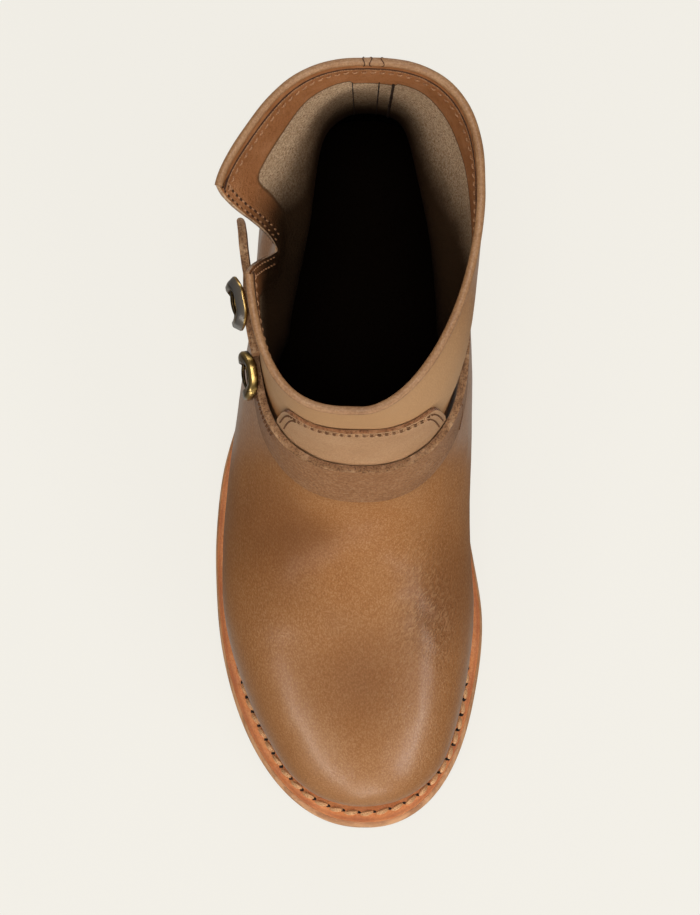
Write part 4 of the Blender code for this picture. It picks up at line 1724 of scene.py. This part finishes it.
@dataclass(frozen=True)
class StrapSection:
    """Cross-section of a strap: soft back, grain face, and raw upper and lower edges."""

    thick: float = 2.6
    levels: int = 9
    fray: float = 0.22

    def looks(self) -> Array:
        """Material number of each face round the section: 0 grain face, 1 raw edge."""
        face = [0] * (self.levels - 1)
        raw = [1] * 3
        return np.array(face + raw + face + raw)

    def shares(self) -> tuple[Array, Array]:
        """Height and thickness (0 to 1) of each point round the section, up the back, down the face."""
        rise = np.linspace(0.0, 1.0, self.levels)
        high = np.concatenate([rise, [1.0, 1.0], rise[::-1], [0.0, 0.0]])
        deep = np.concatenate([np.zeros(self.levels), [0.33, 0.67], np.ones(self.levels), [0.67, 0.33]])
        return high, deep

    def frayed(self, rings: Array, seed: float) -> Array:
        """Sections with their raw edges roughened.

        Args:
            rings: Sections, an array (n, points, 3).
            seed: Shift of the roughness.

        Returns:
            The roughened sections.
        """
        high, deep = self.shares()
        raw = ((deep > 0.2) & (deep < 0.8)).astype(float)
        rise = self.fray * (wander(rings, 2.3, seed) + 0.8 * wander(rings, 1.1, seed + 3)) + 0.25
        rings = rings.copy()
        rings[..., 2] += raw * rise * np.where(high > 0.5, 1.0, -1.0)
        return rings


@dataclass(frozen=True)
class Straps:
    """Front panel, instep strap and collar strap of the shaft."""

    last: Last
    section: StrapSection
    panel_half: float = 26.0
    panel_low: float = 97.0
    panel_top: float = 145.5
    panel_thick: float = 1.2
    panel_square: int = 24
    panel_end: float = 0.985
    panel_columns: int = 91
    panel_levels: int = 31
    panel_waver: Wave = Wave(0.18, 15.0, 2.9)
    panel_mottle: Wave = Wave(0.12, 20.0, 5.1)
    instep_mottle: Wave = Wave(0.15, 18.0, 0.4)
    collar_mottle: Wave = Wave(0.15, 14.0, 0.9)
    # Darker towards the instep strap's lower edge.
    lower_dark: float = 0.4
    lower_dark_z: float = 95.5
    lower_dark_reach: float = 3.0
    crown: float = 0.35
    degrees_per_mm: float = 1.0
    stations: int = 190
    tip_angle: float = 9.0
    tip_fullness: float = 0.95
    collar_low: float = 138.0
    collar_high: float = 153.5
    collar_sewn: Span = (-43.0, -67.0)
    instep: tuple[StrapRow, ...] = (
        StrapRow(-76, 92, 113, 0.3),
        StrapRow(-36, 94, 115, 0.5),
        StrapRow(-26, 95.5, 115, 1.8),
        StrapRow(0, 97, 115, 1.8),
        StrapRow(26, 95.5, 115, 1.8),
        StrapRow(42, 94, 115, 0.5),
        StrapRow(98, 90, 111, 0.3),
    )
    collar_free: tuple[FreePoint, ...] = (
        FreePoint(-34.0, 113.0, 0.0),
        FreePoint(-34.8, 119.0, 0.0),
        FreePoint(-35.2, 124.0, 1.2),
        FreePoint(-35.6, 126.8, 3.2),
        FreePoint(-35.9, 128.6, 4.8),
    )

    def panel_high(self, bearing: Array) -> Array:
        """Height of the front panel's upper edge at bearings across it."""
        reach = (self.panel_end * bearing / self.panel_half) ** self.panel_square
        share = np.sqrt(np.maximum(1 - reach, 0))
        return self.panel_low + (self.panel_top - self.panel_low) * share

    def panel_row(self, inward: float, low: float) -> tuple[Array, Array]:
        """Line inside the front panel's outline.

        Args:
            inward: Distance from the outline.
            low: Height where the line starts and ends.

        Returns:
            Bearings and heights along the line.
        """
        share = np.linspace(-1.0, 1.0, 400)
        half = self.panel_half - inward * self.degrees_per_mm
        bearing = half * np.sign(share) * (1 - (1 - np.abs(share)) ** 3)
        z = self.panel_high(bearing * self.panel_half / half) - inward
        return bearing[z > low], z[z > low]

    def build_panel(self, leather: Leather, raw: RawEdge) -> None:
        """Front panel over the instep, under the strap."""
        bearing = np.linspace(-self.panel_half, self.panel_half, self.panel_columns)
        rise = np.linspace(0.0, 1.0, self.panel_levels)
        z = self.panel_low + (self.panel_high(bearing) - self.panel_low)[:, None] * rise
        back = self.last.shaft_points(bearing[:, None], z, GAP)
        face = self.last.shaft_points(bearing[:, None], z, GAP + self.panel_thick)
        face = face + self.last.normal(face) * self.panel_waver.at(face)[..., None]
        mould = Mould()
        looks = np.array(([0] * (self.panel_levels - 1) + [1]) * 2)
        mould.grid(np.concatenate([back, face[:, ::-1]], axis=1), caps=True, looks=looks)
        panel = mould.form("front_panel_leather", (leather.build(), raw.build()), 40.0)
        paint(panel, "shade", self.panel_mottle.at(points_of(panel)))
        seat(panel, Slot.UPPER, "front_panel")

    def instep_section(self, bearing: float) -> Array:
        """Section of the instep strap at a bearing, its ends rounded."""
        start, end = self.instep[0].bearing, self.instep[-1].bearing
        low, high, lift = (float(smooth(self.instep, name, bearing)) for name in ("low", "high", "lift"))
        near = 1 - min(bearing - start, end - bearing, self.tip_angle) / self.tip_angle
        trim = (high - low) / 2 * (1 - math.sqrt(1 - (self.tip_fullness * near) ** 2))
        rise, deep = self.section.shares()
        heights = low + trim + (high - low - 2 * trim) * rise
        crown = self.crown * np.sin(math.pi * rise) * (deep > 0.9)
        lifts = max(lift, GAP) + self.section.thick * deep + crown
        return self.last.shaft_points(bearing, heights, lifts)

    def build_instep(self, leather: Leather, raw: RawEdge) -> None:
        """Instep strap with raw edges."""
        bearings = np.linspace(self.instep[0].bearing, self.instep[-1].bearing, self.stations)
        rings = self.section.frayed(np.array([self.instep_section(bearing) for bearing in bearings]), 1.3)
        mould = Mould()
        mould.grid(rings, caps=True, looks=self.section.looks())
        strap = mould.form("instep_strap_leather", (leather.build(), raw.build()), 40.0)
        points = points_of(strap)
        # Darker towards the strap's lower edge.
        lower_dark = self.lower_dark * bell(points[:, 2] - self.lower_dark_z, self.lower_dark_reach)
        paint(strap, "shade", self.instep_mottle.at(points) - lower_dark)
        seat(strap, Slot.STRAPS, "instep_strap")

    def build_collar_strap(self, leather: Leather, raw: RawEdge) -> None:
        """Collar strap, sewn at the front and free past the notch."""
        rise, deep = self.section.shares()
        heights = self.collar_low + (self.collar_high - self.collar_low) * rise
        rings = []
        for bearing in np.linspace(*self.collar_sewn, 40):
            rings.append(self.last.shaft_points(bearing, heights, GAP + self.section.thick * deep))
        knots = [rings[-1].mean(axis=0)[:2]] + [np.array(row[:2]) for row in self.collar_free]
        run = np.concatenate([[0.0], np.cumsum(np.linalg.norm(np.diff(knots, axis=0), axis=1))])
        trims = [0.0] + [row.trim for row in self.collar_free]
        tip = self.section.thick / 2
        bend = run[-1] - tip + tip * np.sin(np.linspace(0.3, 1.4, 5))
        for at in np.concatenate([np.linspace(run[1] * 0.6, run[-1] - tip, 26), bend]):
            x, y = (np.interp(at, run, np.array(knots)[:, axis]) for axis in range(2))
            trim = float(np.interp(at, run, trims))
            thick = self.section.thick * math.sqrt(1 - max((at - run[-1]) / tip + 1, 0) ** 2)
            high = self.collar_low + trim + (self.collar_high - self.collar_low - 2 * trim) * rise
            rings.append(np.column_stack([x + thick * (0.5 - deep), np.full(len(rise), y), high]))
        rings = self.section.frayed(np.array(rings), 2.6)
        mould = Mould()
        mould.grid(rings, caps=True, looks=self.section.looks())
        strap = mould.form("collar_strap_leather", (leather.build(), raw.build()), 40.0)
        paint(strap, "shade", self.collar_mottle.at(points_of(strap)))
        seat(strap, Slot.STRAPS, "collar_strap")


class BuckleRow(NamedTuple):
    """Place, size and lean of one buckle on its strap."""

    name: str
    bearing: float
    z: float
    lift: float
    length: float
    height: float
    tilt: float
    yaw: float
    bow: float
    bevel: float
    rim: float
    dull: float


@dataclass(frozen=True)
class Buckles:
    """Flat brass frames with prongs, lying on their straps."""

    last: Last
    half_wide: float = 1.8
    half_thick: float = 1.7
    edge: float = 0.6
    prong: float = 0.7
    prong_rise: float = 0.6
    corner: float = 4.5
    bow_power: int = 6
    rows: tuple[BuckleRow, ...] = (
        BuckleRow("instep", -39.5, 104.5, 6.2, 16.5, 30.0, 0.0, 0.0, 2.4, 0.7, 0.5, 0.2),
        BuckleRow("collar", -61.0, 147.0, 6.5, 17.0, 25.0, 9.0, -10.0, 1.5, 1.5, -0.7, 0.9),
    )

    def axes(self, row: BuckleRow) -> tuple[Array, Array, Array, Array]:
        """Middle of a buckle, and its directions along the strap, up and outwards."""
        centre = self.last.shaft_points(row.bearing, row.z, row.lift)
        out = self.last.normal(self.last.shaft_points(row.bearing, row.z, 0.0))
        along = unit(np.cross((0.0, 0.0, 1.0), out))
        up = np.cross(out, along)
        yaw, tilt = math.radians(row.yaw), math.radians(row.tilt)
        along, out = (
            along * math.cos(yaw) + out * math.sin(yaw),
            out * math.cos(yaw) - along * math.sin(yaw),
        )
        up, out = (
            up * math.cos(tilt) - out * math.sin(tilt),
            out * math.cos(tilt) + up * math.sin(tilt),
        )
        return centre, along, up, out

    def section(self, row: BuckleRow) -> Array:
        """Flat section with soft corners, its outer side bevelled above the golden rim.

        Args:
            row: The buckle's place and size.

        Returns:
            Places across the bar and outwards, an array (n, 2).
        """
        turn = np.radians(np.arange(0, 360, 15) + 7.5)
        cosine, sine = np.cos(turn), np.sin(turn)
        wide = np.sign(cosine) * (self.half_wide - self.edge) + self.edge * cosine
        thick = np.sign(sine) * (self.half_thick - self.edge) + self.edge * sine
        wide = np.append(wide, (self.half_wide, self.half_wide))
        thick = np.append(thick, (row.rim - 0.1, row.rim + 0.1))
        wide = wide - row.bevel * ease(thick, row.rim, self.half_thick) * (wide > 0)
        return np.stack([wide, thick], axis=-1)

    def build_frame(self, row: BuckleRow, metal: Material) -> None:
        """Rounded frame whose upper and lower bars bow inwards past the strap's edges.

        Args:
            row: The buckle's place and size.
            metal: Its material.
        """
        centre, along, up, out = self.axes(row)
        half_length, half_height = row.length / 2 - self.half_wide, row.height / 2 - self.half_wide
        turn = np.radians(np.arange(0, 360, 5) + 2.5)
        a = np.sign(np.cos(turn)) * (half_length - self.corner) + self.corner * np.cos(turn)
        u = np.sign(np.sin(turn)) * (half_height - self.corner) + self.corner * np.sin(turn)
        drop = row.bow * (np.abs(u) / half_height) ** self.bow_power
        path = centre + a[:, None] * along + u[:, None] * up - drop[:, None] * out
        across = unit(np.cross(np.roll(path, -1, axis=0) - np.roll(path, 1, axis=0), out))
        wide, thick = self.section(row).T
        rings = path[:, None] + across[:, None] * wide[None, :, None] + out * thick[None, :, None]
        mould = Mould()
        mould.grid(rings, along=True)
        frame = mould.form(row.name + "_buckle_frame", (metal,), 60.0)
        bevelled = ease(thick, row.rim - 0.1, row.rim + 0.1) * (wide > 0)
        paint(frame, "shade", np.tile(bell(thick - row.rim, 0.9) * (wide > 0), len(path)))
        paint(frame, "dull", np.tile(row.dull * bevelled, len(path)))
        seat(frame, Slot.BRASS, row.name + "_buckle")

    def build_prong(self, row: BuckleRow, metal: Material) -> None:
        """Prong arched across the frame's window.

        Args:
            row: The buckle's place and size.
            metal: Its material.
        """
        centre, along, _, out = self.axes(row)
        reach = row.length / 2 - 2 * self.half_wide - 2 * GAP
        share = np.linspace(-1.0, 1.0, 26)
        arch = self.prong_rise * (1 - share**2)
        mould = Mould()
        path = centre + along * (share * reach)[:, None] + out * arch[:, None]
        mould.tube(path, self.prong * (1.0 - 0.2 * ease(share, 0.2, 1.0)), 12, up=out, flat=0.9)
        prong = mould.form(row.name + "_buckle_prong", (metal,), 60.0)
        paint(prong, "shade", 0.5 * ease((points_of(prong) - centre) @ out, 1.2, 2.2))
        paint(prong, "dull", np.zeros(len(prong.data.vertices)))
        seat(prong, Slot.BRASS, row.name + "_prong")


@dataclass(frozen=True)
class Seams:
    """Decorative stitches and needle holes of shaft and notch."""

    last: Last
    upper: Upper
    straps: Straps
    thread_radius: float = 0.3
    stitch_gap: float = 0.13
    hole_radius: float = 0.55
    hole_long: float = 1.6
    hole_lift: float = 0.1
    thread_gap: float = 1.7
    needle_pitch: float = 3.0
    needle_inward: float = 3.0
    needle_rows: Span = (1.5, 3.6)
    panel_rows: Span = (1.3, 3.0)
    panel_corner: float = 20.0
    panel_foot: float = 117.5
    panel_lift: float = 0.05
    dash_share: float = 0.55
    dash_pitch: float = 2.5
    dash_slant: float = 0.4
    dash_radius: float = 0.2
    row_pitch: float = 1.6
    strap_rows: Span = (2.4, 4.6)
    strap_run: Span = (-37.0, -24.0)
    strap_lift: float = 0.15
    keeper_lift: float = 0.1
    keeper_radius: float = 0.24
    lining_drop: float = 1.5
    lining_foot: float = 100.0
    lining_reach: float = 54.0
    lining_waver: float = 0.3
    lining_radii: Triple = (0.22, 0.24, 0.5)
    lining_seams: Triple = (0.6, 9.6, 14.6)
    keeper: tuple[Span, ...] = ((31.0, 111.5), (30.8, 106.0), (29.6, 100.0), (26.8, 96.8))

    def run(self, mould: Mould, line: Array, looks: int) -> None:
        """Row of stitches on the shaft.

        Args:
            mould: Mesh to add to.
            line: Points along the row, an array (n, 3).
            looks: Material number.
        """
        places, along = spaced(line, self.row_pitch)
        normals = self.last.normal(places)
        for i in range(len(places) - 1):
            gap = along[i] * self.row_pitch * self.stitch_gap
            mould.bead(places[i] + gap, places[i + 1] - gap, normals[i], self.thread_radius, looks=looks)

    def build_panel_seams(self, pale: Thread, dark: Thread) -> None:
        """Double row inside the panel's outline: dark dots down its sides, slanted dashes along its top.

        Args:
            pale: Thread that shows between the dashes.
            dark: Thread of the dots and dashes.
        """
        mould = Mould()
        on_panel = GAP + self.straps.panel_thick + self.panel_lift
        for inward in self.panel_rows:
            bearing, z = self.straps.panel_row(inward, self.panel_foot)
            for side in (bearing < -self.panel_corner, bearing > self.panel_corner):
                self.run(mould, self.last.shaft_points(bearing[side], z[side], on_panel), 1)
            top = np.abs(bearing) <= self.panel_corner
            line = self.last.shaft_points(bearing[top], z[top], on_panel)
            places, along = spaced(line, self.dash_pitch)
            normals = self.last.normal(places)
            slant = np.cross(along, normals) * self.dash_slant
            for i in range(len(places) - 1):
                middle = places[i] + (places[i + 1] - places[i]) * self.dash_share
                mould.bead(places[i] - slant[i], middle + slant[i], normals[i], self.dash_radius, looks=1)
                mould.bead(middle + slant[i], places[i + 1] - slant[i], normals[i], self.dash_radius)
        seat(mould.form("panel_stitches", (pale.build(), dark.build())), Slot.UPPER)

    def build_strap_seams(self, dark: Thread) -> None:
        """Double row along the lateral part of the instep strap and a thin seam down its medial part."""
        mould = Mould()
        face = self.straps.section.thick + self.strap_lift
        bearing = np.linspace(*self.strap_run, 80)
        lift = smooth(self.straps.instep, "lift", bearing) + face
        high = smooth(self.straps.instep, "high", bearing)
        for below in self.strap_rows:
            self.run(mould, self.last.shaft_points(bearing, high - below, lift), 0)
        at = np.linspace(0, 3, 40)
        turn, height = (np.interp(at, range(4), column) for column in np.array(self.keeper).T)
        lift = smooth(self.straps.instep, "lift", turn) + face + self.keeper_lift
        mould.tube(self.last.shaft_points(turn, height, lift), self.keeper_radius, 6)
        seat(mould.form("strap_stitches", (dark.build(),)), Slot.STRAPS)

    def build_lining_seams(self, dark: Thread) -> None:
        """Dark seams of the lining's strip at the back, from the facing downwards; the one at x 0.6 lies
        along the strip's edge and is painted shadow there.
        """
        mould = Mould()
        top = self.last.collar_z - self.upper.facing_back - self.lining_drop
        z = np.linspace(top, self.lining_foot, 60)
        for x, girth in zip(self.lining_seams, self.lining_radii):
            off = x - self.last.shaft_centre[0]
            bearing = 180.0 - np.degrees(np.arctan2(off, self.lining_reach))
            path = self.last.shaft_points(bearing, z, -self.upper.wall)
            waver = Wave(self.lining_waver, 6.0, x + 2)
            mould.tube(path, girth * (1 + waver.at(path)), 6)
        seat(mould.form("lining_seams", (dark.build(),)), Slot.UPPER)

    def build_needle_holes(self, dark: Thread, pale: Thread) -> None:
        """Two rows of needle holes, with thread between them, along both edges of the notch.

        Args:
            dark: Finish of the holes.
            pale: Finish of the thread.
        """
        mould = Mould()
        notch = self.upper.notch
        for corner in (notch.front, notch.back):
            for away in self.needle_rows:
                line = notch.edge(corner, self.needle_inward, away)
                for inside in (True, False):
                    places, along = spaced(self.upper.lateral(line, inside), self.needle_pitch)
                    normals = self.last.normal(places) * (-1.0 if inside else 1.0)
                    for place, run, normal in zip(places, along, normals):
                        middle = place + normal * self.hole_lift
                        mould.hole(middle, normal, self.hole_radius, run, self.hole_long)
                    for i in range(len(places) - 1):
                        reach = along[i] * self.hole_radius * self.thread_gap
                        start, end = places[i] + reach, places[i + 1] - reach
                        mould.bead(start, end, normals[i], self.thread_radius, looks=1)
        seat(mould.form("notch_needle_holes", (dark.build(), pale.build())), Slot.UPPER)


@dataclass(frozen=True)
class Strip:
    """Soft rectangular light whose long side lies between two points."""

    name: str
    start: Triple
    end: Triple
    aim: Triple
    wide: float
    power: float

    def build(self) -> Object:
        """Make the light, which faces the point it is aimed at."""
        start, end = Vector(self.start), Vector(self.end)
        data = bpy.data.lights.new(self.name, "AREA")
        data.shape = "RECTANGLE"
        data.size, data.size_y, data.energy = self.wide, (end - start).length, self.power
        light = bpy.data.objects.new(self.name, data)
        light.location = (start + end) / 2
        back = (light.location - Vector(self.aim)).normalized()
        side = (end - start).cross(back).normalized()
        light.rotation_euler = Matrix((side, back.cross(side), back)).transposed().to_euler()
        return light


@dataclass(frozen=True)
class Studio:
    """Pale floor, soft lights and the camera above the boot."""

    camera_place: Triple = (0.0, 0.0502, 1.0)
    lens: float = 102.5
    sensor: float = 36.0
    floor_size: float = 12.0
    floor_colour: Colour = srgb(241, 238, 230)
    floor_glow: float = 0.9
    floor_tone: float = 0.12
    floor_rough: float = 0.9
    ambient: float = 0.16
    bounce: float = 0.5
    bounce_from: Span = (-0.3, -0.95)
    strips: tuple[Strip, ...] = (
        Strip("left_strip", (-0.83, -0.56, 0.65), (-0.45, -1.68, 0.65), (0.0, -0.02, 0.05), 0.1, 7.0),
        Strip("right_strip", (0.95, -0.42, 0.65), (0.67, -1.32, 0.65), (0.0, -0.02, 0.05), 0.1, 7.0),
        Strip("toe_strip", (-0.15, -1.5, 0.2), (0.35, -1.5, 0.2), (0.0, -0.06, 0.04), 0.1, 2.8),
        Strip("top_light", (0.0, -0.4, 2.2), (0.0, 0.5, 2.2), (0.0, 0.05, 0.05), 0.9, 19.5),
        Strip("back_light", (-0.7, 1.7, 0.75), (0.7, 1.7, 0.75), (0.0, 0.12, 0.1), 0.6, 9.0),
    )

    def build(self) -> None:
        """Set up the floor, world, lights and camera."""
        scene = bpy.context.scene
        scene.view_settings.view_transform = "Standard"
        self.build_floor()
        scene.world = self.build_world()
        for strip in self.strips:
            scene.collection.objects.link(strip.build())
        data = bpy.data.cameras.new("camera")
        data.lens = self.lens
        data.sensor_width = self.sensor
        camera = bpy.data.objects.new("camera", data)
        camera.location = self.camera_place
        scene.collection.objects.link(camera)
        scene.camera = camera

    def build_world(self) -> World:
        """Dim surroundings, brighter from below like light thrown back by the pale floor."""
        world = bpy.data.worlds.new("studio")
        world.use_nodes = True
        nodes, links = world.node_tree.nodes, world.node_tree.links
        parts = nodes.new("ShaderNodeSeparateXYZ")
        links.new(nodes.new("ShaderNodeTexCoord").outputs["Generated"], parts.inputs["Vector"])
        glow = nodes.new("ShaderNodeMapRange")
        level, below = self.bounce_from
        ranges = {"From Min": level, "From Max": below, "To Min": self.ambient, "To Max": self.bounce}
        for name, value in ranges.items():
            glow.inputs[name].default_value = value
        links.new(parts.outputs["Z"], glow.inputs["Value"])
        background = nodes["Background"]
        background.inputs["Color"].default_value = (*self.floor_colour, 1.0)
        links.new(glow.outputs["Result"], background.inputs["Strength"])
        return world

    def build_floor(self) -> None:
        """Wide pale floor that glows softly, so that shadows stay faint."""
        half = self.floor_size / 2
        mesh = bpy.data.meshes.new("floor")
        corners = [(-half, -half, 0.0), (half, -half, 0.0), (half, half, 0.0), (-half, half, 0.0)]
        mesh.from_pydata(corners, [], [(0, 1, 2, 3)])
        shader = Shader("floor")
        tone = tuple(self.floor_tone * value for value in self.floor_colour)
        shader.set(Base_Color=tone, Roughness=self.floor_rough)
        shader.set(Emission_Color=self.floor_colour, Emission_Strength=self.floor_glow)
        shader.set(Specular_IOR_Level=0.0)
        mesh.materials.append(shader.material)
        floor = bpy.data.objects.new("floor", mesh)
        floor.visible_diffuse = False
        floor.visible_glossy = False
        bpy.context.scene.collection.objects.link(floor)


@dataclass(frozen=True)
class Finishes:
    """Finishes of the boot."""

    vamp: Leather = Leather(
        "vamp_leather", srgb(158, 103, 56), srgb(108, 60, 26), srgb(200, 158, 114),
        grain=1800.0, grain_depth=0.00008, stretch=(1.0, 0.6, 1.0), mottle=38.0, gloss=(0.34, 0.46),
        coat=0.5, contrast=0.12, fleck=0.32, matte=0.75, tint=(1.0, 0.78, 0.5), wrinkle=0.0003,
    )
    panel: Leather = Leather(
        "panel_leather", srgb(180, 136, 95), srgb(142, 100, 65), srgb(202, 164, 126),
        grain=1600.0, grain_depth=0.00006, mottle=60.0, gloss=(0.6, 0.75), coat=0.0, contrast=0.25,
    )
    strap: Leather = Leather(
        "strap_leather", srgb(146, 100, 63), srgb(108, 70, 42), srgb(182, 142, 104),
        grain=1000.0, grain_depth=0.00024, mottle=55.0, gloss=(0.5, 0.62), coat=0.05, contrast=0.3,
        fleck=0.35, specular=0.25,
    )
    binding: Leather = Leather(
        "binding_leather", srgb(166, 120, 79), srgb(120, 79, 48), srgb(202, 162, 120),
        grain=1300.0, grain_depth=0.0001, mottle=90.0, gloss=(0.42, 0.58), coat=0.05, contrast=0.3,
    )
    welt: Leather = Leather(
        "welt_leather", srgb(222, 138, 76), srgb(170, 90, 46), srgb(238, 172, 112),
        grain=1400.0, grain_depth=0.00009, mottle=120.0, gloss=(0.5, 0.68), coat=0.0,
    )
    # Near black: painted shade deep inside the boot.
    insole: Leather = Leather(
        "insole_leather_shaded", srgb(13, 8, 5), srgb(9, 5, 3), srgb(16, 10, 7),
        grain_depth=0.0001, mottle=40.0, gloss=(0.9, 1.0), coat=0.0, contrast=0.3, specular=0.0,
    )
    rubber: Leather = Leather(
        "top_piece_rubber", srgb(70, 48, 32), srgb(46, 32, 22), srgb(92, 66, 46),
        grain=700.0, mottle=60.0, gloss=(0.6, 0.75), coat=0.0,
    )
    raw: RawEdge = RawEdge("raw_edge", srgb(172, 128, 88), srgb(112, 76, 50), srgb(206, 166, 126))
    cut: RawEdge = RawEdge("cut_edge", srgb(216, 174, 130), srgb(160, 116, 78), srgb(232, 198, 160))
    panel_edge: RawEdge = RawEdge(
        "panel_edge", srgb(172, 120, 80), srgb(112, 72, 44), srgb(196, 148, 106)
    )
    outsole: Stacked = Stacked(
        "outsole_edge", srgb(210, 158, 112), srgb(172, 122, 82), srgb(226, 180, 138)
    )
    heel: Stacked = Stacked("heel_stack", srgb(158, 106, 65), srgb(118, 75, 44), srgb(182, 132, 88))
    lining: Lining = Lining()
    brass: Brass = Brass()
    prong: Brass = Brass("dark_brass", srgb(72, 58, 36), srgb(36, 28, 18), srgb(104, 86, 54))
    pale_thread: Thread = Thread("pale_thread", srgb(206, 164, 122), srgb(158, 116, 80))
    dark_thread: Thread = Thread("dark_thread", srgb(118, 78, 48), srgb(78, 50, 30))
    seam_thread: Thread = Thread("seam_thread", srgb(196, 146, 104), srgb(128, 84, 52))
    welt_thread: Thread = Thread("welt_thread", srgb(232, 180, 128), srgb(180, 126, 82))
    # Dark brown of painted shade in the collar's groove and the creases at its join; it also colours the
    # notch's needle holes.
    groove: Thread = Thread("groove", srgb(84, 50, 28), srgb(54, 32, 18))
    # Dark brown of the lining's seams, and painted shadow along the strip's edge.
    lining_seam_shadow: Thread = Thread("lining_seam_shadow", srgb(58, 40, 26), srgb(40, 28, 18))
    hole: Thread = Thread("needle_hole", srgb(26, 16, 10), srgb(12, 8, 6))


def corners(box: Iterable[Iterable[float]]) -> list[list[float]]:
    """A box as plain lists of numbers."""
    return [[float(value) for value in corner] for corner in box]


def main() -> None:
    """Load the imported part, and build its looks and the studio."""
    logging.basicConfig(level=logging.INFO, format="%(message)s")
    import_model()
    finishes = Finishes()
    last = Last()
    upper = Upper(last, Notch(last))
    upper.build(finishes.vamp, finishes.lining, finishes.cut)
    sole = Sole(last)
    sole.build_outsole(finishes.outsole)
    sole.build_welt(finishes.welt)
    sole.build_stitches(finishes.welt_thread, finishes.hole)
    sole.build_insole(finishes.insole)
    sole.build_heel(finishes.heel, finishes.rubber)
    collar = Collar(last, upper)
    collar.build_binding(finishes.binding)
    collar.build_seam(finishes.seam_thread, finishes.groove)
    straps = Straps(last, StrapSection())
    straps.build_panel(finishes.panel, finishes.panel_edge)
    straps.build_instep(finishes.strap, finishes.raw)
    straps.build_collar_strap(finishes.strap, finishes.raw)
    buckles = Buckles(last)
    metal, dark_metal = finishes.brass.build(), finishes.prong.build()
    for row in buckles.rows:
        buckles.build_frame(row, metal)
        buckles.build_prong(row, dark_metal)
    seams = Seams(last, upper, straps)
    seams.build_panel_seams(finishes.pale_thread, finishes.dark_thread)
    seams.build_strap_seams(finishes.dark_thread)
    seams.build_lining_seams(finishes.lining_seam_shadow)
    seams.build_needle_holes(finishes.groove, finishes.seam_thread)
    Studio().build()


if __name__ == "__main__":
    main()
